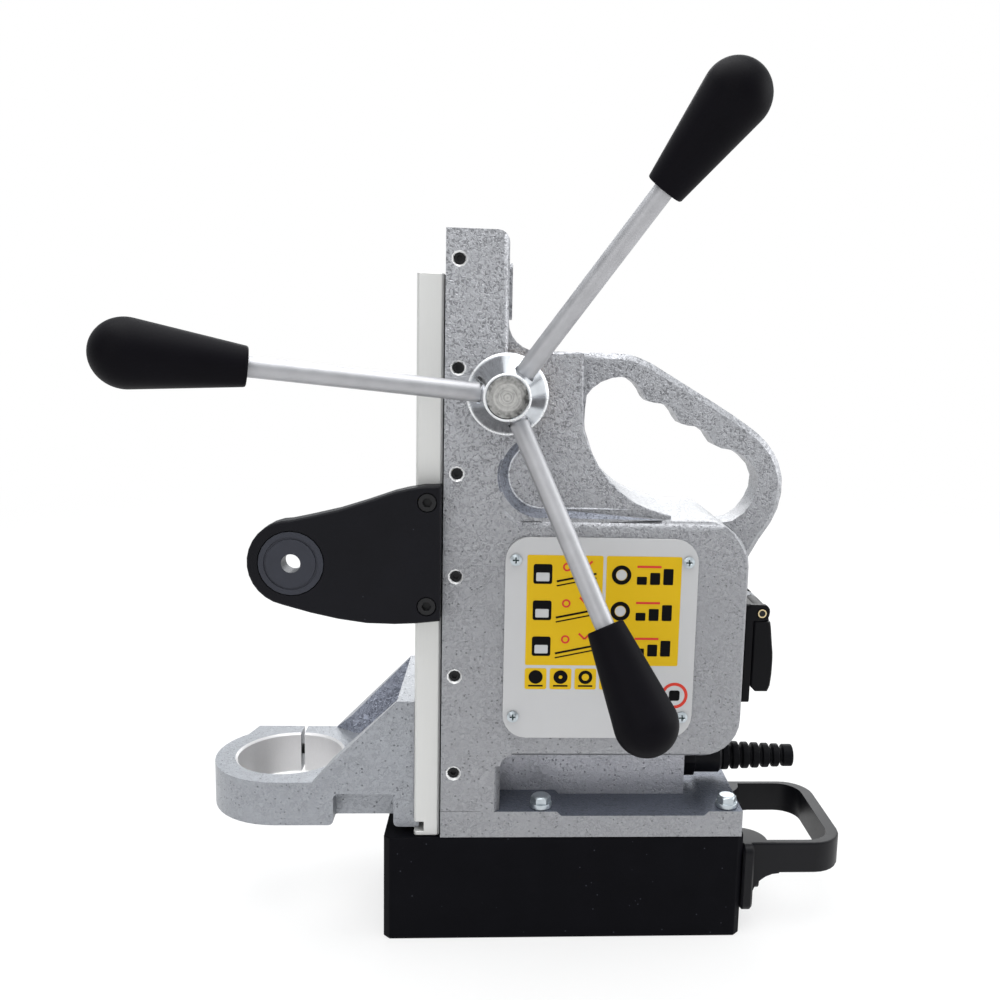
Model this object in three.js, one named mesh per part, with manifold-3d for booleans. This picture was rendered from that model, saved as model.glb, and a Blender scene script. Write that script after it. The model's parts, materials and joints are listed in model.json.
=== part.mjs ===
// A magnetic drill stand: a switchable magnet foot, a cast frame with a dovetail column, a rack
// driven slide that carries the motor clamp and the side arm, and a feed with three levers.
// Millimetres. +X runs to the rear of the stand, +Z up, and -Y is the side with the levers.
// The origin is the middle of the magnet's bottom face.
import * as THREE from 'three';
import { mergeVertices } from 'three/addons/utils/BufferGeometryUtils.js';
import Module from 'manifold-3d';

const wasm = await Module();
wasm.setup();

// Fits
const seatGap = 0.3;
const slidingGap = 0.3;
const threadGap = 0.25;
const overrun = 6;
const weldTolerance = 0.0001;

// Magnet foot
const magnetLength = 165;
const magnetWidth = 80;
const magnetHeight = 49;
const magnetCorner = 3;
const grooveWall = 12;
const grooveWidth = 14;
const grooveDepth = 34;
const grooveCorner = 9;
const pottingDepth = 6;
const pottingRecess = 0.6;

// Cast frame: foot
const footSetback = 25.5;
const footLength = 137.8;
const footThickness = 10.2;
const lugRise = 2;
const lugSlope = 2;
const frontLugLength = 52.4;
const rearLugLength = 15.8;

// Cast frame: column with its dovetail way
const columnDepth = 26.4;
const columnHeight = 255;
const columnCorner = 5;
const columnEdge = 2.4;
const padRise = 1.4;
const padLow = 220;
const padHeight = 23;
const padWidth = 48;
const padCorner = 3;
const shoulderFillet = 12;
const tongueDepth = 12;
const tongueRootHalf = 15;
const tongueEndHalf = 21;
const columnClearance = 0.6;

// Cast frame: feed block, carrying handle and web
const shoulderHeight = 267.3;
const blockHalfWidth = 34;
const blockReach = 59;
const blockEdge = 1.2;
const stepFillet = 14;
const stepSlope = 4.5;
const handleReach = 97;
const handleHalfWidth = 9;
const handleEdge = 2.6;
const webHalfWidth = 17;
const webReach = 87.6;
const recessFillet = 5;

// Cast frame: control box
const boxReach = 134.3;
const boxBottom = 88;
const boxTop = 195.5;
const boxTopCorner = 20;
const boxLowCorner = 17;
const boxWall = 5;
const boxEdge = 1.2;
const boxTopEdge = 5;
const rearPadRise = 2;
const rearPadMargin = 3;
const windowMargin = 9;

// Side plate, and its twin on the far side that carries the switch
const coverLength = 84.4;
const coverHeight = 90.6;
const coverThickness = 1.5;
const coverCorner = 10.5;
const coverLeft = 27;
const coverBottom = 97.3;
const coverScrewInset = 4.5;
const coverScrewDrop = 10;
const coverScrewHead = 2.6;
const coverScrewHeadHeight = 1.5;
const coverScrewShank = 1.5;
const coverScrewLength = 7;
const crossLength = 2.8;
const crossWidth = 0.6;
const crossDepth = 0.9;

// Foot bolts
const boltShank = 2.5;
const boltLength = 22;
const boltHeadAcross = 8;
const boltHeadHeight = 3.5;
const boltHeadChamfer = 0.5;
const boltEdgeInset = 5.7;
const rearBoltInset = 6.6;
const frontBoltReach = 45.2;
const washerRadius = 5;
const washerThickness = 1.8;

// Slide
const slideThickness = 11.4;
const slideWidth = 76;
const slideHeight = 248.8;
const slideEdge = 1;
const slotDepth = 4.4;
const slotHeight = 4.4;
const slotRise = 2;
const gibWidth = 4;
const gibEndInset = 3;

// Gib screws down the near side of the column
const gibScrewCount = 6;
const gibScrewFirst = 79.7;
const gibScrewPitch = 44.9;
const gibScrewInset = 5.6;
const gibScrewRadius = 2.35;
const gibHoleChamfer = 0.8;
const gibScrewSink = 1.2;
const gibSocketAcross = 2.5;

// Rack and pinion
const toothModule = 1.5;
const pinionTeeth = 16;
const strokeTeeth = 32;
const rackSpareTeeth = 3;
const toothSlimShare = 0.85;
const toothTipShare = 0.8;
const toothRootShare = 1.25;
const flankAngleDegrees = 20;
const rackWidth = 12;
const rackBack = 7.4;
const rackRise = 34.67;

// Feed shaft, bushes and hub
const feedAxisReach = 26.5;
const shaftRadius = 8;
const bushWall = 3;
const pinionBoreMargin = 1.6;
const pinionHalfWidth = 9;
const hubFlangeRadius = 17.3;
const hubFlangeThickness = 3.6;
const hubFlangeLip = 0.6;
const hubConeRadius = 16.7;
const hubNoseRadius = 9.5;
const hubConeLength = 28.6;
const hubNoseChamfer = 0.7;
const hubBoreDepth = 9;
const keyWidth = 4;
const keyHeight = 4;
const keyLength = 7;
const clipWidth = 1.4;
const clipGrooveDepth = 0.9;
const clipRadius = 10.8;
const clipMouth = 6;
const shaftTail = 4;

// Feed levers
const leverCount = 3;
const leverFirstDegrees = 174.4;
const leverTiltDegrees = 16.7;
const leverCrossing = 15;
const rodRadius = 4;
const rodEdge = 0.5;
const rodRootInset = 6.6;
const gripStart = 101.4;
const gripLength = 54;
const gripBaseRadius = 7.6;
const gripEndRadius = 12.9;
const gripBaseEdge = 1.6;
const rodInGrip = 34;

// Motor bracket with its clamp ring
const clampRadius = 24.3;
const clampReach = 62;
const clampThickness = 20.4;
const clampBottom = 52.4;
const clampChamfer = 1;
const clampLugReach = 22.8;
const clampLugSlope = 3;
const clampLugDepth = 12.3;
const clampSlit = 1.8;
const bracketHalfWidth = 34.3;
const bracketTop = 110.9;
const bracketTopDepth = 7.9;
const bracketSlopeRun = 37.7;
const bracketFoot = 51.6;
const bracketFootDepth = 9.2;
const bracketNeckStart = 36.2;
const neckBottom = 67.2;
const neckRound = 2.2;
const innerNeckBottom = 54;
const innerNeckHalf = 26;
const ribFootThickness = 9.4;
const ribTopThickness = 2.6;
const scoopRadius = 36.5;
const hookReach = 2;
const hookHeight = 3.4;
const clampScrewRadius = 2.5;
const clampScrewLength = 34;
const clampScrewHead = 4.2;
const clampScrewHeadHeight = 5;
const clampScrewInset = 4.9;
const clampScrewSink = 1;
const clampSocketAcross = 4;

// Side arm
const armThickness = 9.7;
const armReach = 62.4;
const armNoseHeight = 176;
const armNoseRadius = 18.4;
const armRise = 34.1;
const armDrop = 25.4;
const armEdge = 0.8;
const armBushRadius = 13.6;
const armBushDepth = 4;
const armBushBarrel = 8;
const armBushBore = 4;
const armGrooveRadius = 10.4;
const armGrooveWidth = 0.9;
const armGrooveDepth = 0.6;
const armScrewRadius = 2.5;
const armScrewLength = 16;
const armScrewHead = 3.9;
const armScrewHeadHeight = 4.4;
const armScrewSink = 0.6;
const armSocketAcross = 3.6;
const armScrewHigh = 202.9;
const armScrewLow = 158.1;

// Rear socket with a spring lid
const socketWidth = 54;
const socketHeight = 47;
const socketBottom = 108.4;
const socketPlate = 3.4;
const socketCorner = 2;
const gasketThickness = 0.7;
const socketCupRadius = 19;
const socketRecessRadius = 16.5;
const socketRecessDepth = 14;
const socketFloor = 12;
const contactRadius = 2.6;
const contactSpread = 9.5;
const lidPinRadius = 2;
const lidPinReach = 3.8;
const lidPinDrop = 4;
const lidReach = 10.2;
const lidRise = 5.6;
const lidToe = 2.4;
const lidWall = 2;
const lidEdge = 0.8;
const earThickness = 3;
const earReach = 7.5;
const earCorner = 3;
const springTurns = 5;
const springStepsPerTurn = 8;
const springSides = 5;
const springWire = 0.6;
const springHalfLength = 4.5;
const springLeg = 8;
const springPocketHalf = 6;

// Cable gland and ribbed strain relief
const glandHeight = 72;
const glandNutAcross = 17;
const glandNutLength = 7;
const glandRadius = 8.2;
const glandReach = 20.6;
const glandNoseEdge = 1.4;
const glandBore = 4.2;
const glandThreadLength = 8;
const glandThreadRadius = 6.6;
const glandSeatRadius = 6;
const glandSeatDepth = 6;
const cableWayRadius = 4.4;
const bootLength = 35.6;
const bootStartRadius = 7;
const bootEndRadius = 5.4;
const bootRibs = 7;
const bootRibShare = 0.62;
const bootGroove = 1.7;
const bootTipEdge = 1.4;
const bootBore = 3.4;

// Rear grip on the magnet
const gripReach = 50;
const gripHalfSpan = 34.5;
const gripTop = 43;
const gripHeight = 15;
const gripBar = 6;
const gripArm = 3.4;
const gripBend = 15;
const gripEdge = 1;
const gripFootDepth = 5.4;
const gripFootBottom = 10.5;
const gripFootLap = 4;
const gripFootCorner = 4;
const gripGusset = 13;
const gripLobe = 12.6;
const gripScrewRadius = 2.5;
const gripScrewHead = 3.8;
const gripScrewHeadHeight = 5;
const gripScrewLength = 14;
const gripScrewHeight = 20;

// Magnet switch on the far panel
const switchLength = 22;
const switchHeight = 30;
const switchBezel = 2;
const switchDepth = 24;
const switchCorner = 2;
const rockerTiltDegrees = 8;
const rockerFace = 1.5;
const rockerDepth = 5;
const rockerPivotDepth = 2.1;
const rockerRoom = 2;
const rockerPinRadius = 1.2;
const rockerPinLength = 1.6;
const rockerGap = 0.8;

// Power parts on the floor of the control box
const rectifierSide = 28;
const rectifierHeight = 10;
const rectifierReach = 27;
const terminalDepth = 14;
const terminalHeight = 12;
const terminalReach = 52;
const terminalWays = 3;
const terminalPitch = 10;
const terminalHoleRadius = 2;
const terminalScrewWell = 3;

// The carrying handle's outlines, as shares of its reach and of its height over the box
const handleOuterShares = [
  [0.19, 1], [0.24, 0.993], [0.29, 0.972], [0.34, 0.943], [0.5, 0.818], [0.64, 0.71],
  [0.745, 0.625], [0.831, 0.549], [0.875, 0.505], [0.915, 0.453], [0.95, 0.395], [0.98, 0.32],
  [1, 0.223], [1, 0.12], [0.985, 0.02], [0.955, -0.074], [0.9, -0.19], [0.79, -0.47],
];
const fingerHoleShares = [
  [0.03, 0.64], [0.036, 0.73], [0.061, 0.775], [0.103, 0.818], [0.154, 0.845], [0.197, 0.853],
  [0.236, 0.843], [0.268, 0.812], [0.292, 0.772], [0.308, 0.73], [0.328, 0.703], [0.36, 0.694],
  [0.4, 0.69], [0.433, 0.67], [0.456, 0.635], [0.473, 0.595], [0.492, 0.565], [0.52, 0.555],
  [0.555, 0.551], [0.592, 0.533], [0.62, 0.508], [0.64, 0.468], [0.66, 0.432], [0.69, 0.413],
  [0.73, 0.406], [0.77, 0.389], [0.81, 0.353], [0.855, 0.293], [0.878, 0.218], [0.874, 0.139],
  [0.852, 0.066], [0.812, -0.01], [0.76, -0.06], [0.68, -0.08], [0.5, -0.08], [0.3, -0.08],
  [0.14, 0.02], [0.05, 0.2], [0.025, 0.4],
];
const blockEdgeShares = [
  [0.006, 0.66], [0.012, 0.54], [0.05, 0.396], [0.085, 0.31], [0.128, 0.238], [0.185, 0.16],
  [0.25, 0.097], [0.305, 0.065], [0.361, 0.041], [0.42, 0.02],
];
// The arm's edges, as shares of its reach and of its rise or drop from the nose's height
const armUpperShares = [
  [0.12, 0.991], [0.216, 0.959], [0.309, 0.915], [0.495, 0.792], [0.681, 0.68], [0.867, 0.595],
];
const armLowerShares = [
  [0.873, 0.839], [0.686, 0.941], [0.497, 1.008], [0.308, 1.02], [0.165, 1.004],
];
const armLowerEndShare = 0.96;
// Where the arm's nose ends its round, as a share of half a turn
const armNoseTurnShare = 0.93;
// The lid's outer side, as shares of its reach and of its height, from the bottom up
const lidOuterShares = [
  [0.83, 0], [0.94, 0.07], [0.99, 0.2], [1, 0.36], [0.985, 0.45], [0.93, 0.55], [0.84, 0.74],
];

// Derived places
const half = (value) => value / 2;
const magnetFront = -half(magnetLength);
const magnetRear = half(magnetLength);
const columnFront = magnetFront + footSetback;
const columnRear = columnFront + columnDepth;
const footRear = columnFront + footLength;
const frameHalf = half(magnetWidth);
const frameBottom = magnetHeight + seatGap;
const footTop = frameBottom + footThickness;
const lugTop = footTop + lugRise;
const columnTop = lugTop + columnHeight;
const boxRear = columnFront + boxReach;
const blockRear = columnFront + blockReach;
const webRear = columnRear + webReach;
const slideRear = columnFront - columnClearance;
const slideFront = slideRear - slideThickness;
const slideBottom = magnetHeight + seatGap;
const slideTop = slideBottom + slideHeight;
const slideHalf = half(slideWidth);
const tongueEnd = slideRear + tongueDepth;
const wayEnd = tongueEnd + slidingGap;
const toothPitch = Math.PI * toothModule;
const pitchRadius = half(toothModule * pinionTeeth);
const feedAxisX = columnFront + feedAxisReach;
const pitchLineX = feedAxisX - pitchRadius;
const pinionTip = pitchRadius + toothModule * toothTipShare;
const rackFront = pitchLineX - rackBack;
const rackLow = slideBottom + rackRise;
const feedAxisHeight = rackLow + (strokeTeeth + rackSpareTeeth) * toothPitch;
const rackHigh = feedAxisHeight + rackSpareTeeth * toothPitch;
const clampX = slideFront - seatGap - clampReach;
const clampTop = clampBottom + clampThickness;
const coverX = columnFront + coverLeft;
const coverMiddleX = coverX + half(coverLength);
const coverMiddleZ = coverBottom + half(coverHeight);
const coverSeat = frameHalf + seatGap;
const coverFace = coverSeat + coverThickness;
const chamberHalf = frameHalf - boxWall;
const chamberFloor = boxBottom + boxWall;
const chamberFront = columnRear + boxWall;
const gasketFront = boxRear + rearPadRise + seatGap;
const plateFront = gasketFront + gasketThickness + seatGap;
const plateRear = plateFront + socketPlate;
const socketMiddle = socketBottom + half(socketHeight);
const socketTop = socketBottom + socketHeight;

// Outline helpers
function shapeOf(points) {
  const shape = new THREE.Shape();
  points.forEach(([x, y], index) => (index ? shape.lineTo(x, y) : shape.moveTo(x, y)));
  shape.closePath();
  return shape;
}

function arcPoints(x, y, radius, from, to, steps) {
  return Array.from({ length: steps + 1 }, (_, i) => {
    const angle = from + ((to - from) * i) / Math.max(steps, 1);
    return [x + radius * Math.cos(angle), y + radius * Math.sin(angle)];
  });
}

function roundedRect(x0, y0, x1, y1, radii, steps = 5) {
  const corner = Array.isArray(radii) ? radii : [radii, radii, radii, radii];
  const centres = [
    [x0 + corner[0], y0 + corner[0]], [x1 - corner[1], y0 + corner[1]],
    [x1 - corner[2], y1 - corner[2]], [x0 + corner[3], y1 - corner[3]],
  ];
  return centres.flatMap(([x, y], i) => arcPoints(
    x, y, corner[i], Math.PI * (1 + half(i)), Math.PI * (1.5 + half(i)), corner[i] > 0 ? steps : 0));
}

function hexagon(across) {
  const radius = half(across) / Math.cos(Math.PI / 6);
  return arcPoints(0, 0, radius, 0, (5 * Math.PI) / 3, 5);
}

// Solid helpers
function solid(geometry) {
  const bare = new THREE.BufferGeometry();
  bare.setAttribute('position', geometry.getAttribute('position'));
  bare.setIndex(geometry.getIndex());
  const welded = mergeVertices(bare, weldTolerance);
  const index = welded.index.array;
  const place = welded.attributes.position;
  const corners = [new THREE.Vector3(), new THREE.Vector3(), new THREE.Vector3()];
  const kept = [];
  let volume = 0;
  for (let i = 0; i < index.length; i += 3) {
    const [a, b, c] = [index[i], index[i + 1], index[i + 2]];
    if (a !== b && b !== c && c !== a) {
      kept.push(a, b, c);
      corners.forEach((corner, k) => corner.fromBufferAttribute(place, [a, b, c][k]));
      volume += corners[0].dot(corners[1].cross(corners[2]));
    }
  }
  if (volume < 0) kept.reverse();
  return new wasm.Manifold(new wasm.Mesh({
    numProp: 3,
    vertProperties: new Float32Array(place.array),
    triVerts: new Uint32Array(kept),
  }));
}

const join = (...pieces) => pieces.flat(2).reduce((whole, piece) => whole.add(piece));
const cut = (body, ...tools) => tools.flat(3).reduce((whole, tool) => whole.subtract(tool), body);
const both = (make) => [-1, 1].map(make);

function extrude(points, depth, edge = 0, edgeSteps = 1) {
  const geometry = new THREE.ExtrudeGeometry(shapeOf(points), {
    depth: depth - 2 * edge,
    bevelEnabled: edge > 0,
    bevelThickness: edge,
    bevelSize: edge,
    bevelOffset: -edge,
    bevelSegments: edgeSteps,
  });
  return geometry.translate(0, 0, edge);
}

// A prism whose outline lies in X and Z and which runs from yNear to yFar
function prismY(points, yNear, yFar, edge = 0, edgeSteps = 1) {
  const geometry = extrude(points, yFar - yNear, edge, edgeSteps);
  return solid(geometry.rotateX(half(Math.PI)).translate(0, yFar, 0));
}

// A prism whose outline lies in X and Y and which runs from zLow to zHigh
function prismZ(points, zLow, zHigh, edge = 0, edgeSteps = 1) {
  return solid(extrude(points, zHigh - zLow, edge, edgeSteps).translate(0, 0, zLow));
}

// A prism whose outline lies in Y and Z and which runs from xLow to xHigh
function prismX(points, xLow, xHigh, edge = 0, edgeSteps = 1) {
  const geometry = extrude(points, xHigh - xLow, edge, edgeSteps);
  return solid(geometry.rotateX(half(Math.PI)).rotateZ(half(Math.PI)).translate(xLow, 0, 0));
}

function block(x0, x1, y0, y1, z0, z1) {
  const geometry = new THREE.BoxGeometry(x1 - x0, y1 - y0, z1 - z0);
  return solid(geometry.translate(half(x0 + x1), half(y0 + y1), half(z0 + z1)));
}

const right = new THREE.Vector3(1, 0, 0);
const left = new THREE.Vector3(-1, 0, 0);
const inward = new THREE.Vector3(0, 1, 0);
const outward = new THREE.Vector3(0, -1, 0);
const up = new THREE.Vector3(0, 0, 1);
const down = new THREE.Vector3(0, 0, -1);

// A turned piece: its profile is a list of radius and distance along the axis from the start
function turned(profile, start, direction, sides = 24) {
  const geometry = new THREE.LatheGeometry(profile.map(([r, d]) => new THREE.Vector2(r, d)), sides);
  geometry.applyQuaternion(new THREE.Quaternion().setFromUnitVectors(inward, direction));
  return solid(geometry.translate(...start));
}

function cylinder(start, direction, length, radius, sides = 24) {
  return turned([[0, 0], [radius, 0], [radius, length], [0, length]], start, direction, sides);
}

function ring(start, direction, length, outer, inner, sides = 24) {
  const profile = [[inner, 0], [outer, 0], [outer, length], [inner, length], [inner, 0]];
  return turned(profile, start, direction, sides);
}

// A wire bent along a path
function wire(path, radius, sides) {
  const rims = [];
  let side = inward.clone();
  path.forEach((point, i) => {
    const ahead = path[Math.min(i + 1, path.length - 1)].clone().sub(path[Math.max(i - 1, 0)]).normalize();
    side = side.clone().addScaledVector(ahead, -side.dot(ahead)).normalize();
    const other = ahead.clone().cross(side);
    for (let k = 0; k < sides; k += 1) {
      const angle = (2 * Math.PI * k) / sides;
      rims.push(point.clone().addScaledVector(side, radius * Math.cos(angle))
        .addScaledVector(other, radius * Math.sin(angle)));
    }
  });
  const index = [];
  for (let i = 0; i < path.length - 1; i += 1) {
    for (let k = 0; k < sides; k += 1) {
      const [a, b] = [i * sides + k, i * sides + ((k + 1) % sides)];
      index.push(a, b, a + sides, b, b + sides, a + sides);
    }
  }
  const last = (path.length - 1) * sides;
  for (let k = 1; k < sides - 1; k += 1) {
    index.push(0, k + 1, k, last, last + k, last + k + 1);
  }
  const geometry = new THREE.BufferGeometry().setFromPoints(rims);
  geometry.setIndex(index);
  return solid(geometry);
}

function geometryOf(body) {
  const mesh = body.getMesh();
  const geometry = new THREE.BufferGeometry();
  geometry.setAttribute('position', new THREE.BufferAttribute(new Float32Array(mesh.vertProperties), 3));
  geometry.setIndex(new THREE.BufferAttribute(new Uint32Array(mesh.triVerts), 1));
  geometry.computeVertexNormals();
  return geometry;
}

const look = (color, roughness, metalness) => new THREE.MeshStandardMaterial({ color, roughness, metalness });
const looks = {
  casting: look(0x9a9aa0, 0.55, 0.35),
  aluminium: look(0xd4d4d4, 0.4, 0.8),
  blackPaint: look(0x17181c, 0.5, 0.1),
  blackSteel: look(0x15151a, 0.45, 0.6),
  steel: look(0xb8babd, 0.32, 0.9),
  zinc: look(0xc9ccd0, 0.3, 0.9),
  polished: look(0xd8dade, 0.12, 1),
  plastic: look(0x141417, 0.5, 0),
  rubber: look(0x121214, 0.75, 0),
  plate: look(0xd6d6d2, 0.45, 0.1),
  brass: look(0xb08a48, 0.35, 0.9),
  bronze: look(0x9a7440, 0.45, 0.8),
  copper: look(0xa5603a, 0.5, 0.6),
  potting: look(0x4a3a2a, 0.7, 0),
  red: look(0xb02020, 0.4, 0),
};

const stand = new THREE.Group();
function addPiece(name, body, material) {
  const mesh = new THREE.Mesh(geometryOf(body), material);
  mesh.name = name;
  stand.add(mesh);
}

// A screw with a round head and a hexagon socket; its seat is where the head meets the work
function socketScrew(seat, direction, shank, length, head, headHeight, across) {
  const top = new THREE.Vector3(...seat).addScaledVector(direction, -headHeight);
  const tip = headHeight + length;
  const profile = [[0, 0], [head, 0], [head, headHeight], [shank, headHeight], [shank, tip], [0, tip]];
  const turn = new THREE.Quaternion().setFromUnitVectors(up, direction);
  const start = top.clone().addScaledVector(direction, -overrun);
  const socket = extrude(hexagon(across), overrun + half(headHeight)).applyQuaternion(turn);
  return cut(turned(profile, top, direction, 12), solid(socket.translate(...start)));
}

// A pan headed screw with a cross recess; its seat is where the head meets the work
function crossScrew(seat, direction, shank, length, head, headHeight) {
  const top = new THREE.Vector3(...seat).addScaledVector(direction, -headHeight);
  const tip = headHeight + length;
  const profile = [
    [0, 0], [half(head), 0], [head, half(headHeight)], [head, headHeight], [shank, headHeight],
    [shank, tip], [0, tip],
  ];
  const turn = new THREE.Quaternion().setFromUnitVectors(up, direction);
  const slots = [[crossLength, crossWidth], [crossWidth, crossLength]].map(([width, height]) => solid(
    new THREE.BoxGeometry(width, height, 2 * crossDepth).applyQuaternion(turn).translate(...top)));
  return cut(turned(profile, top, direction, 10), slots);
}

// Magnet: a steel block with a racetrack groove from below, its coil and the potting under it
function grooveRing(gap, zLow, zHigh) {
  const outer = [magnetRear - grooveWall - gap, frameHalf - grooveWall - gap];
  const inner = [magnetRear - grooveWall - grooveWidth + gap, frameHalf - grooveWall - grooveWidth + gap];
  return cut(
    prismZ(roundedRect(-outer[0], -outer[1], outer[0], outer[1], grooveCorner), zLow, zHigh),
    prismZ(roundedRect(-inner[0], -inner[1], inner[0], inner[1], half(grooveCorner), 3),
      zLow - overrun, zHigh + overrun));
}

const footBoltX = [columnFront + frontBoltReach, footRear - rearBoltInset];
const footBoltPlaces = footBoltX.flatMap((x) => both((side) => [x, side * (frameHalf - boltEdgeInset)]));
const footBoltTools = (depth) => footBoltPlaces.map(([x, y]) => cylinder(
  [x, y, lugTop + overrun], down, depth + overrun, boltShank + threadGap, 10));
const gripScrewY = gripHalfSpan - gripArm - half(gripLobe);

addPiece('magnet_body', cut(
  prismZ(roundedRect(magnetFront, -frameHalf, magnetRear, frameHalf, magnetCorner, 1), 0, magnetHeight),
  grooveRing(0, -overrun, grooveDepth),
  footBoltTools(boltLength + seatGap),
  both((side) => cylinder([magnetRear + overrun, side * gripScrewY, gripScrewHeight], left,
    overrun + gripScrewLength - gripFootDepth, gripScrewRadius + threadGap, 12)),
), looks.blackPaint);
addPiece('magnet_coil',
  grooveRing(slidingGap, pottingDepth + seatGap, grooveDepth - seatGap), looks.copper);
addPiece('magnet_potting', grooveRing(slidingGap, pottingRecess, pottingDepth), looks.potting);

// Cast frame
const alongHandle = ([u, v]) => [blockRear + u * handleReach, boxTop + v * (shoulderHeight - boxTop)];
const footOutline = [
  [columnFront, frameBottom], [footRear, frameBottom], [footRear, lugTop],
  [footRear - rearLugLength, lugTop], [footRear - rearLugLength - lugSlope, footTop],
  [columnFront + frontLugLength + lugSlope, footTop], [columnFront + frontLugLength, lugTop],
  [columnFront, lugTop],
];
const columnPlan = [
  [columnFront, -frameHalf], [columnRear - columnEdge, -frameHalf], [columnRear, -frameHalf + columnEdge],
  [columnRear, frameHalf - columnEdge], [columnRear - columnEdge, frameHalf], [columnFront, frameHalf],
];
const columnOutline = roundedRect(
  columnFront, lugTop - overrun, columnRear, columnTop, [0, 0, columnCorner, 0]);
const boxOutline = roundedRect(
  columnRear - overrun, boxBottom, boxRear, boxTop, [0, boxLowCorner, boxTopCorner, 0], 7);
const boxSection = roundedRect(
  -frameHalf, boxBottom - overrun, frameHalf, boxTop, [0, 0, boxTopEdge, boxTopEdge], 4);
// The round between the column's rear face and a level face at height z above or below it
function cornerFill(radius, z, rise) {
  const centre = [columnRear + radius, z + rise * radius];
  return [
    [columnRear - 2 * overrun, z - 2 * rise * overrun], [centre[0], z - 2 * rise * overrun],
    ...arcPoints(centre[0], centre[1], radius, rise * 1.5 * Math.PI, rise * Math.PI, 6),
    [columnRear - 2 * overrun, centre[1]],
  ];
}
const blockOutline = [
  [columnRear - overrun, boxTop - overrun], [alongHandle(blockEdgeShares.at(-1))[0], boxTop - overrun],
  ...blockEdgeShares.map(alongHandle).reverse(),
  [blockRear, shoulderHeight], [columnRear - overrun, shoulderHeight],
];
const handleOutline = [
  [columnRear, boxTop - boxTopCorner], [boxRear - boxTopCorner, boxTop - 2 * boxTopCorner],
  ...handleOuterShares.map(alongHandle).reverse(), [columnRear, shoulderHeight],
];

const tongueHalfAt = (x) => tongueRootHalf + ((x - slideRear) / tongueDepth) * (tongueEndHalf - tongueRootHalf);
function dovetailPlan(xFrom, xTo, nearRoom, farRoom) {
  return [
    [xFrom, -tongueHalfAt(xFrom) - nearRoom], [xTo, -tongueHalfAt(xTo) - nearRoom],
    [xTo, tongueHalfAt(xTo) + farRoom], [xFrom, tongueHalfAt(xFrom) + farRoom],
  ];
}
const gibRoom = gibWidth + 2 * slidingGap;
const rackRoomHalf = half(rackWidth) + 2 * slidingGap;

const gibScrewX = columnFront + gibScrewInset;
const gibScrewTip = -(tongueHalfAt(gibScrewX + gibScrewRadius) + gibRoom);
const gibScrewHeights = Array.from({ length: gibScrewCount }, (_, i) => gibScrewFirst + i * gibScrewPitch);
const gibHole = gibScrewRadius + threadGap;
const gibScrewTools = gibScrewHeights.flatMap((z) => [
  cylinder([gibScrewX, -frameHalf - overrun, z], inward, frameHalf + overrun - tongueRootHalf, gibHole, 10),
  turned([[0, -overrun], [gibHole + gibHoleChamfer + overrun, -overrun], [gibHole, gibHoleChamfer],
    [0, gibHoleChamfer]], [gibScrewX, -frameHalf, z], inward, 10),
]);

const coverScrewX = [coverX + coverScrewInset, coverX + coverLength - coverScrewInset];
const coverScrewZ = [coverBottom + coverScrewDrop, coverBottom + coverHeight - coverScrewDrop];
const coverScrewPlaces = coverScrewX.flatMap((x) => coverScrewZ.map((z) => [x, z]));
const coverScrewTools = coverScrewPlaces.flatMap(([x, z]) => both((side) => cylinder(
  [x, side * (frameHalf + overrun), z], side < 0 ? inward : outward, overrun + coverScrewLength,
  coverScrewShank + threadGap, 10)));
const nearBush = pinionTip + pinionBoreMargin;
const farBush = shaftRadius + bushWall;
const cableTurnX = webRear - 2 * glandThreadLength + cableWayRadius;

const castingTools = [
  // the dovetail way and the channel for the rack behind it
  prismZ(dovetailPlan(columnFront - overrun, wayEnd, gibRoom, slidingGap),
    frameBottom - overrun, columnTop + overrun),
  block(wayEnd - overrun, pitchLineX + 2 * toothModule, -rackRoomHalf, rackRoomHalf,
    frameBottom - overrun, columnTop + overrun),
  // the stepped bore for the bushes and the pinion
  cylinder([feedAxisX, -frameHalf - overrun, feedAxisHeight], inward,
    frameHalf + overrun + pinionHalfWidth + slidingGap, nearBush + seatGap, 24),
  cylinder([feedAxisX, 0, feedAxisHeight], inward, frameHalf + overrun, farBush + seatGap, 24),
  gibScrewTools,
  footBoltTools(footThickness + lugRise + 2 * overrun),
  // the chamber of the control box, its side windows and its rear window
  prismY(roundedRect(chamberFront, chamberFloor, boxRear - boxWall, boxTop - boxWall,
    [half(coverCorner), boxLowCorner - boxWall, boxTopCorner - boxWall, half(coverCorner)], 4),
  -chamberHalf, chamberHalf),
  prismY(roundedRect(coverX + windowMargin, coverBottom + windowMargin, coverX + coverLength - windowMargin,
    coverBottom + coverHeight - windowMargin, half(coverCorner), 3), -frameHalf - overrun, frameHalf + overrun),
  cylinder([boxRear - 2 * boxWall, 0, socketMiddle], right, 3 * boxWall, socketCupRadius + seatGap, 32),
  coverScrewTools,
  // the cable's way from the gland up into the chamber
  cylinder([webRear + overrun, 0, glandHeight], left, overrun + 2 * glandThreadLength,
    glandThreadRadius + threadGap, 20),
  cylinder([cableTurnX, 0, glandHeight], up, chamberFloor + overrun - glandHeight, cableWayRadius, 16),
];

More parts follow.
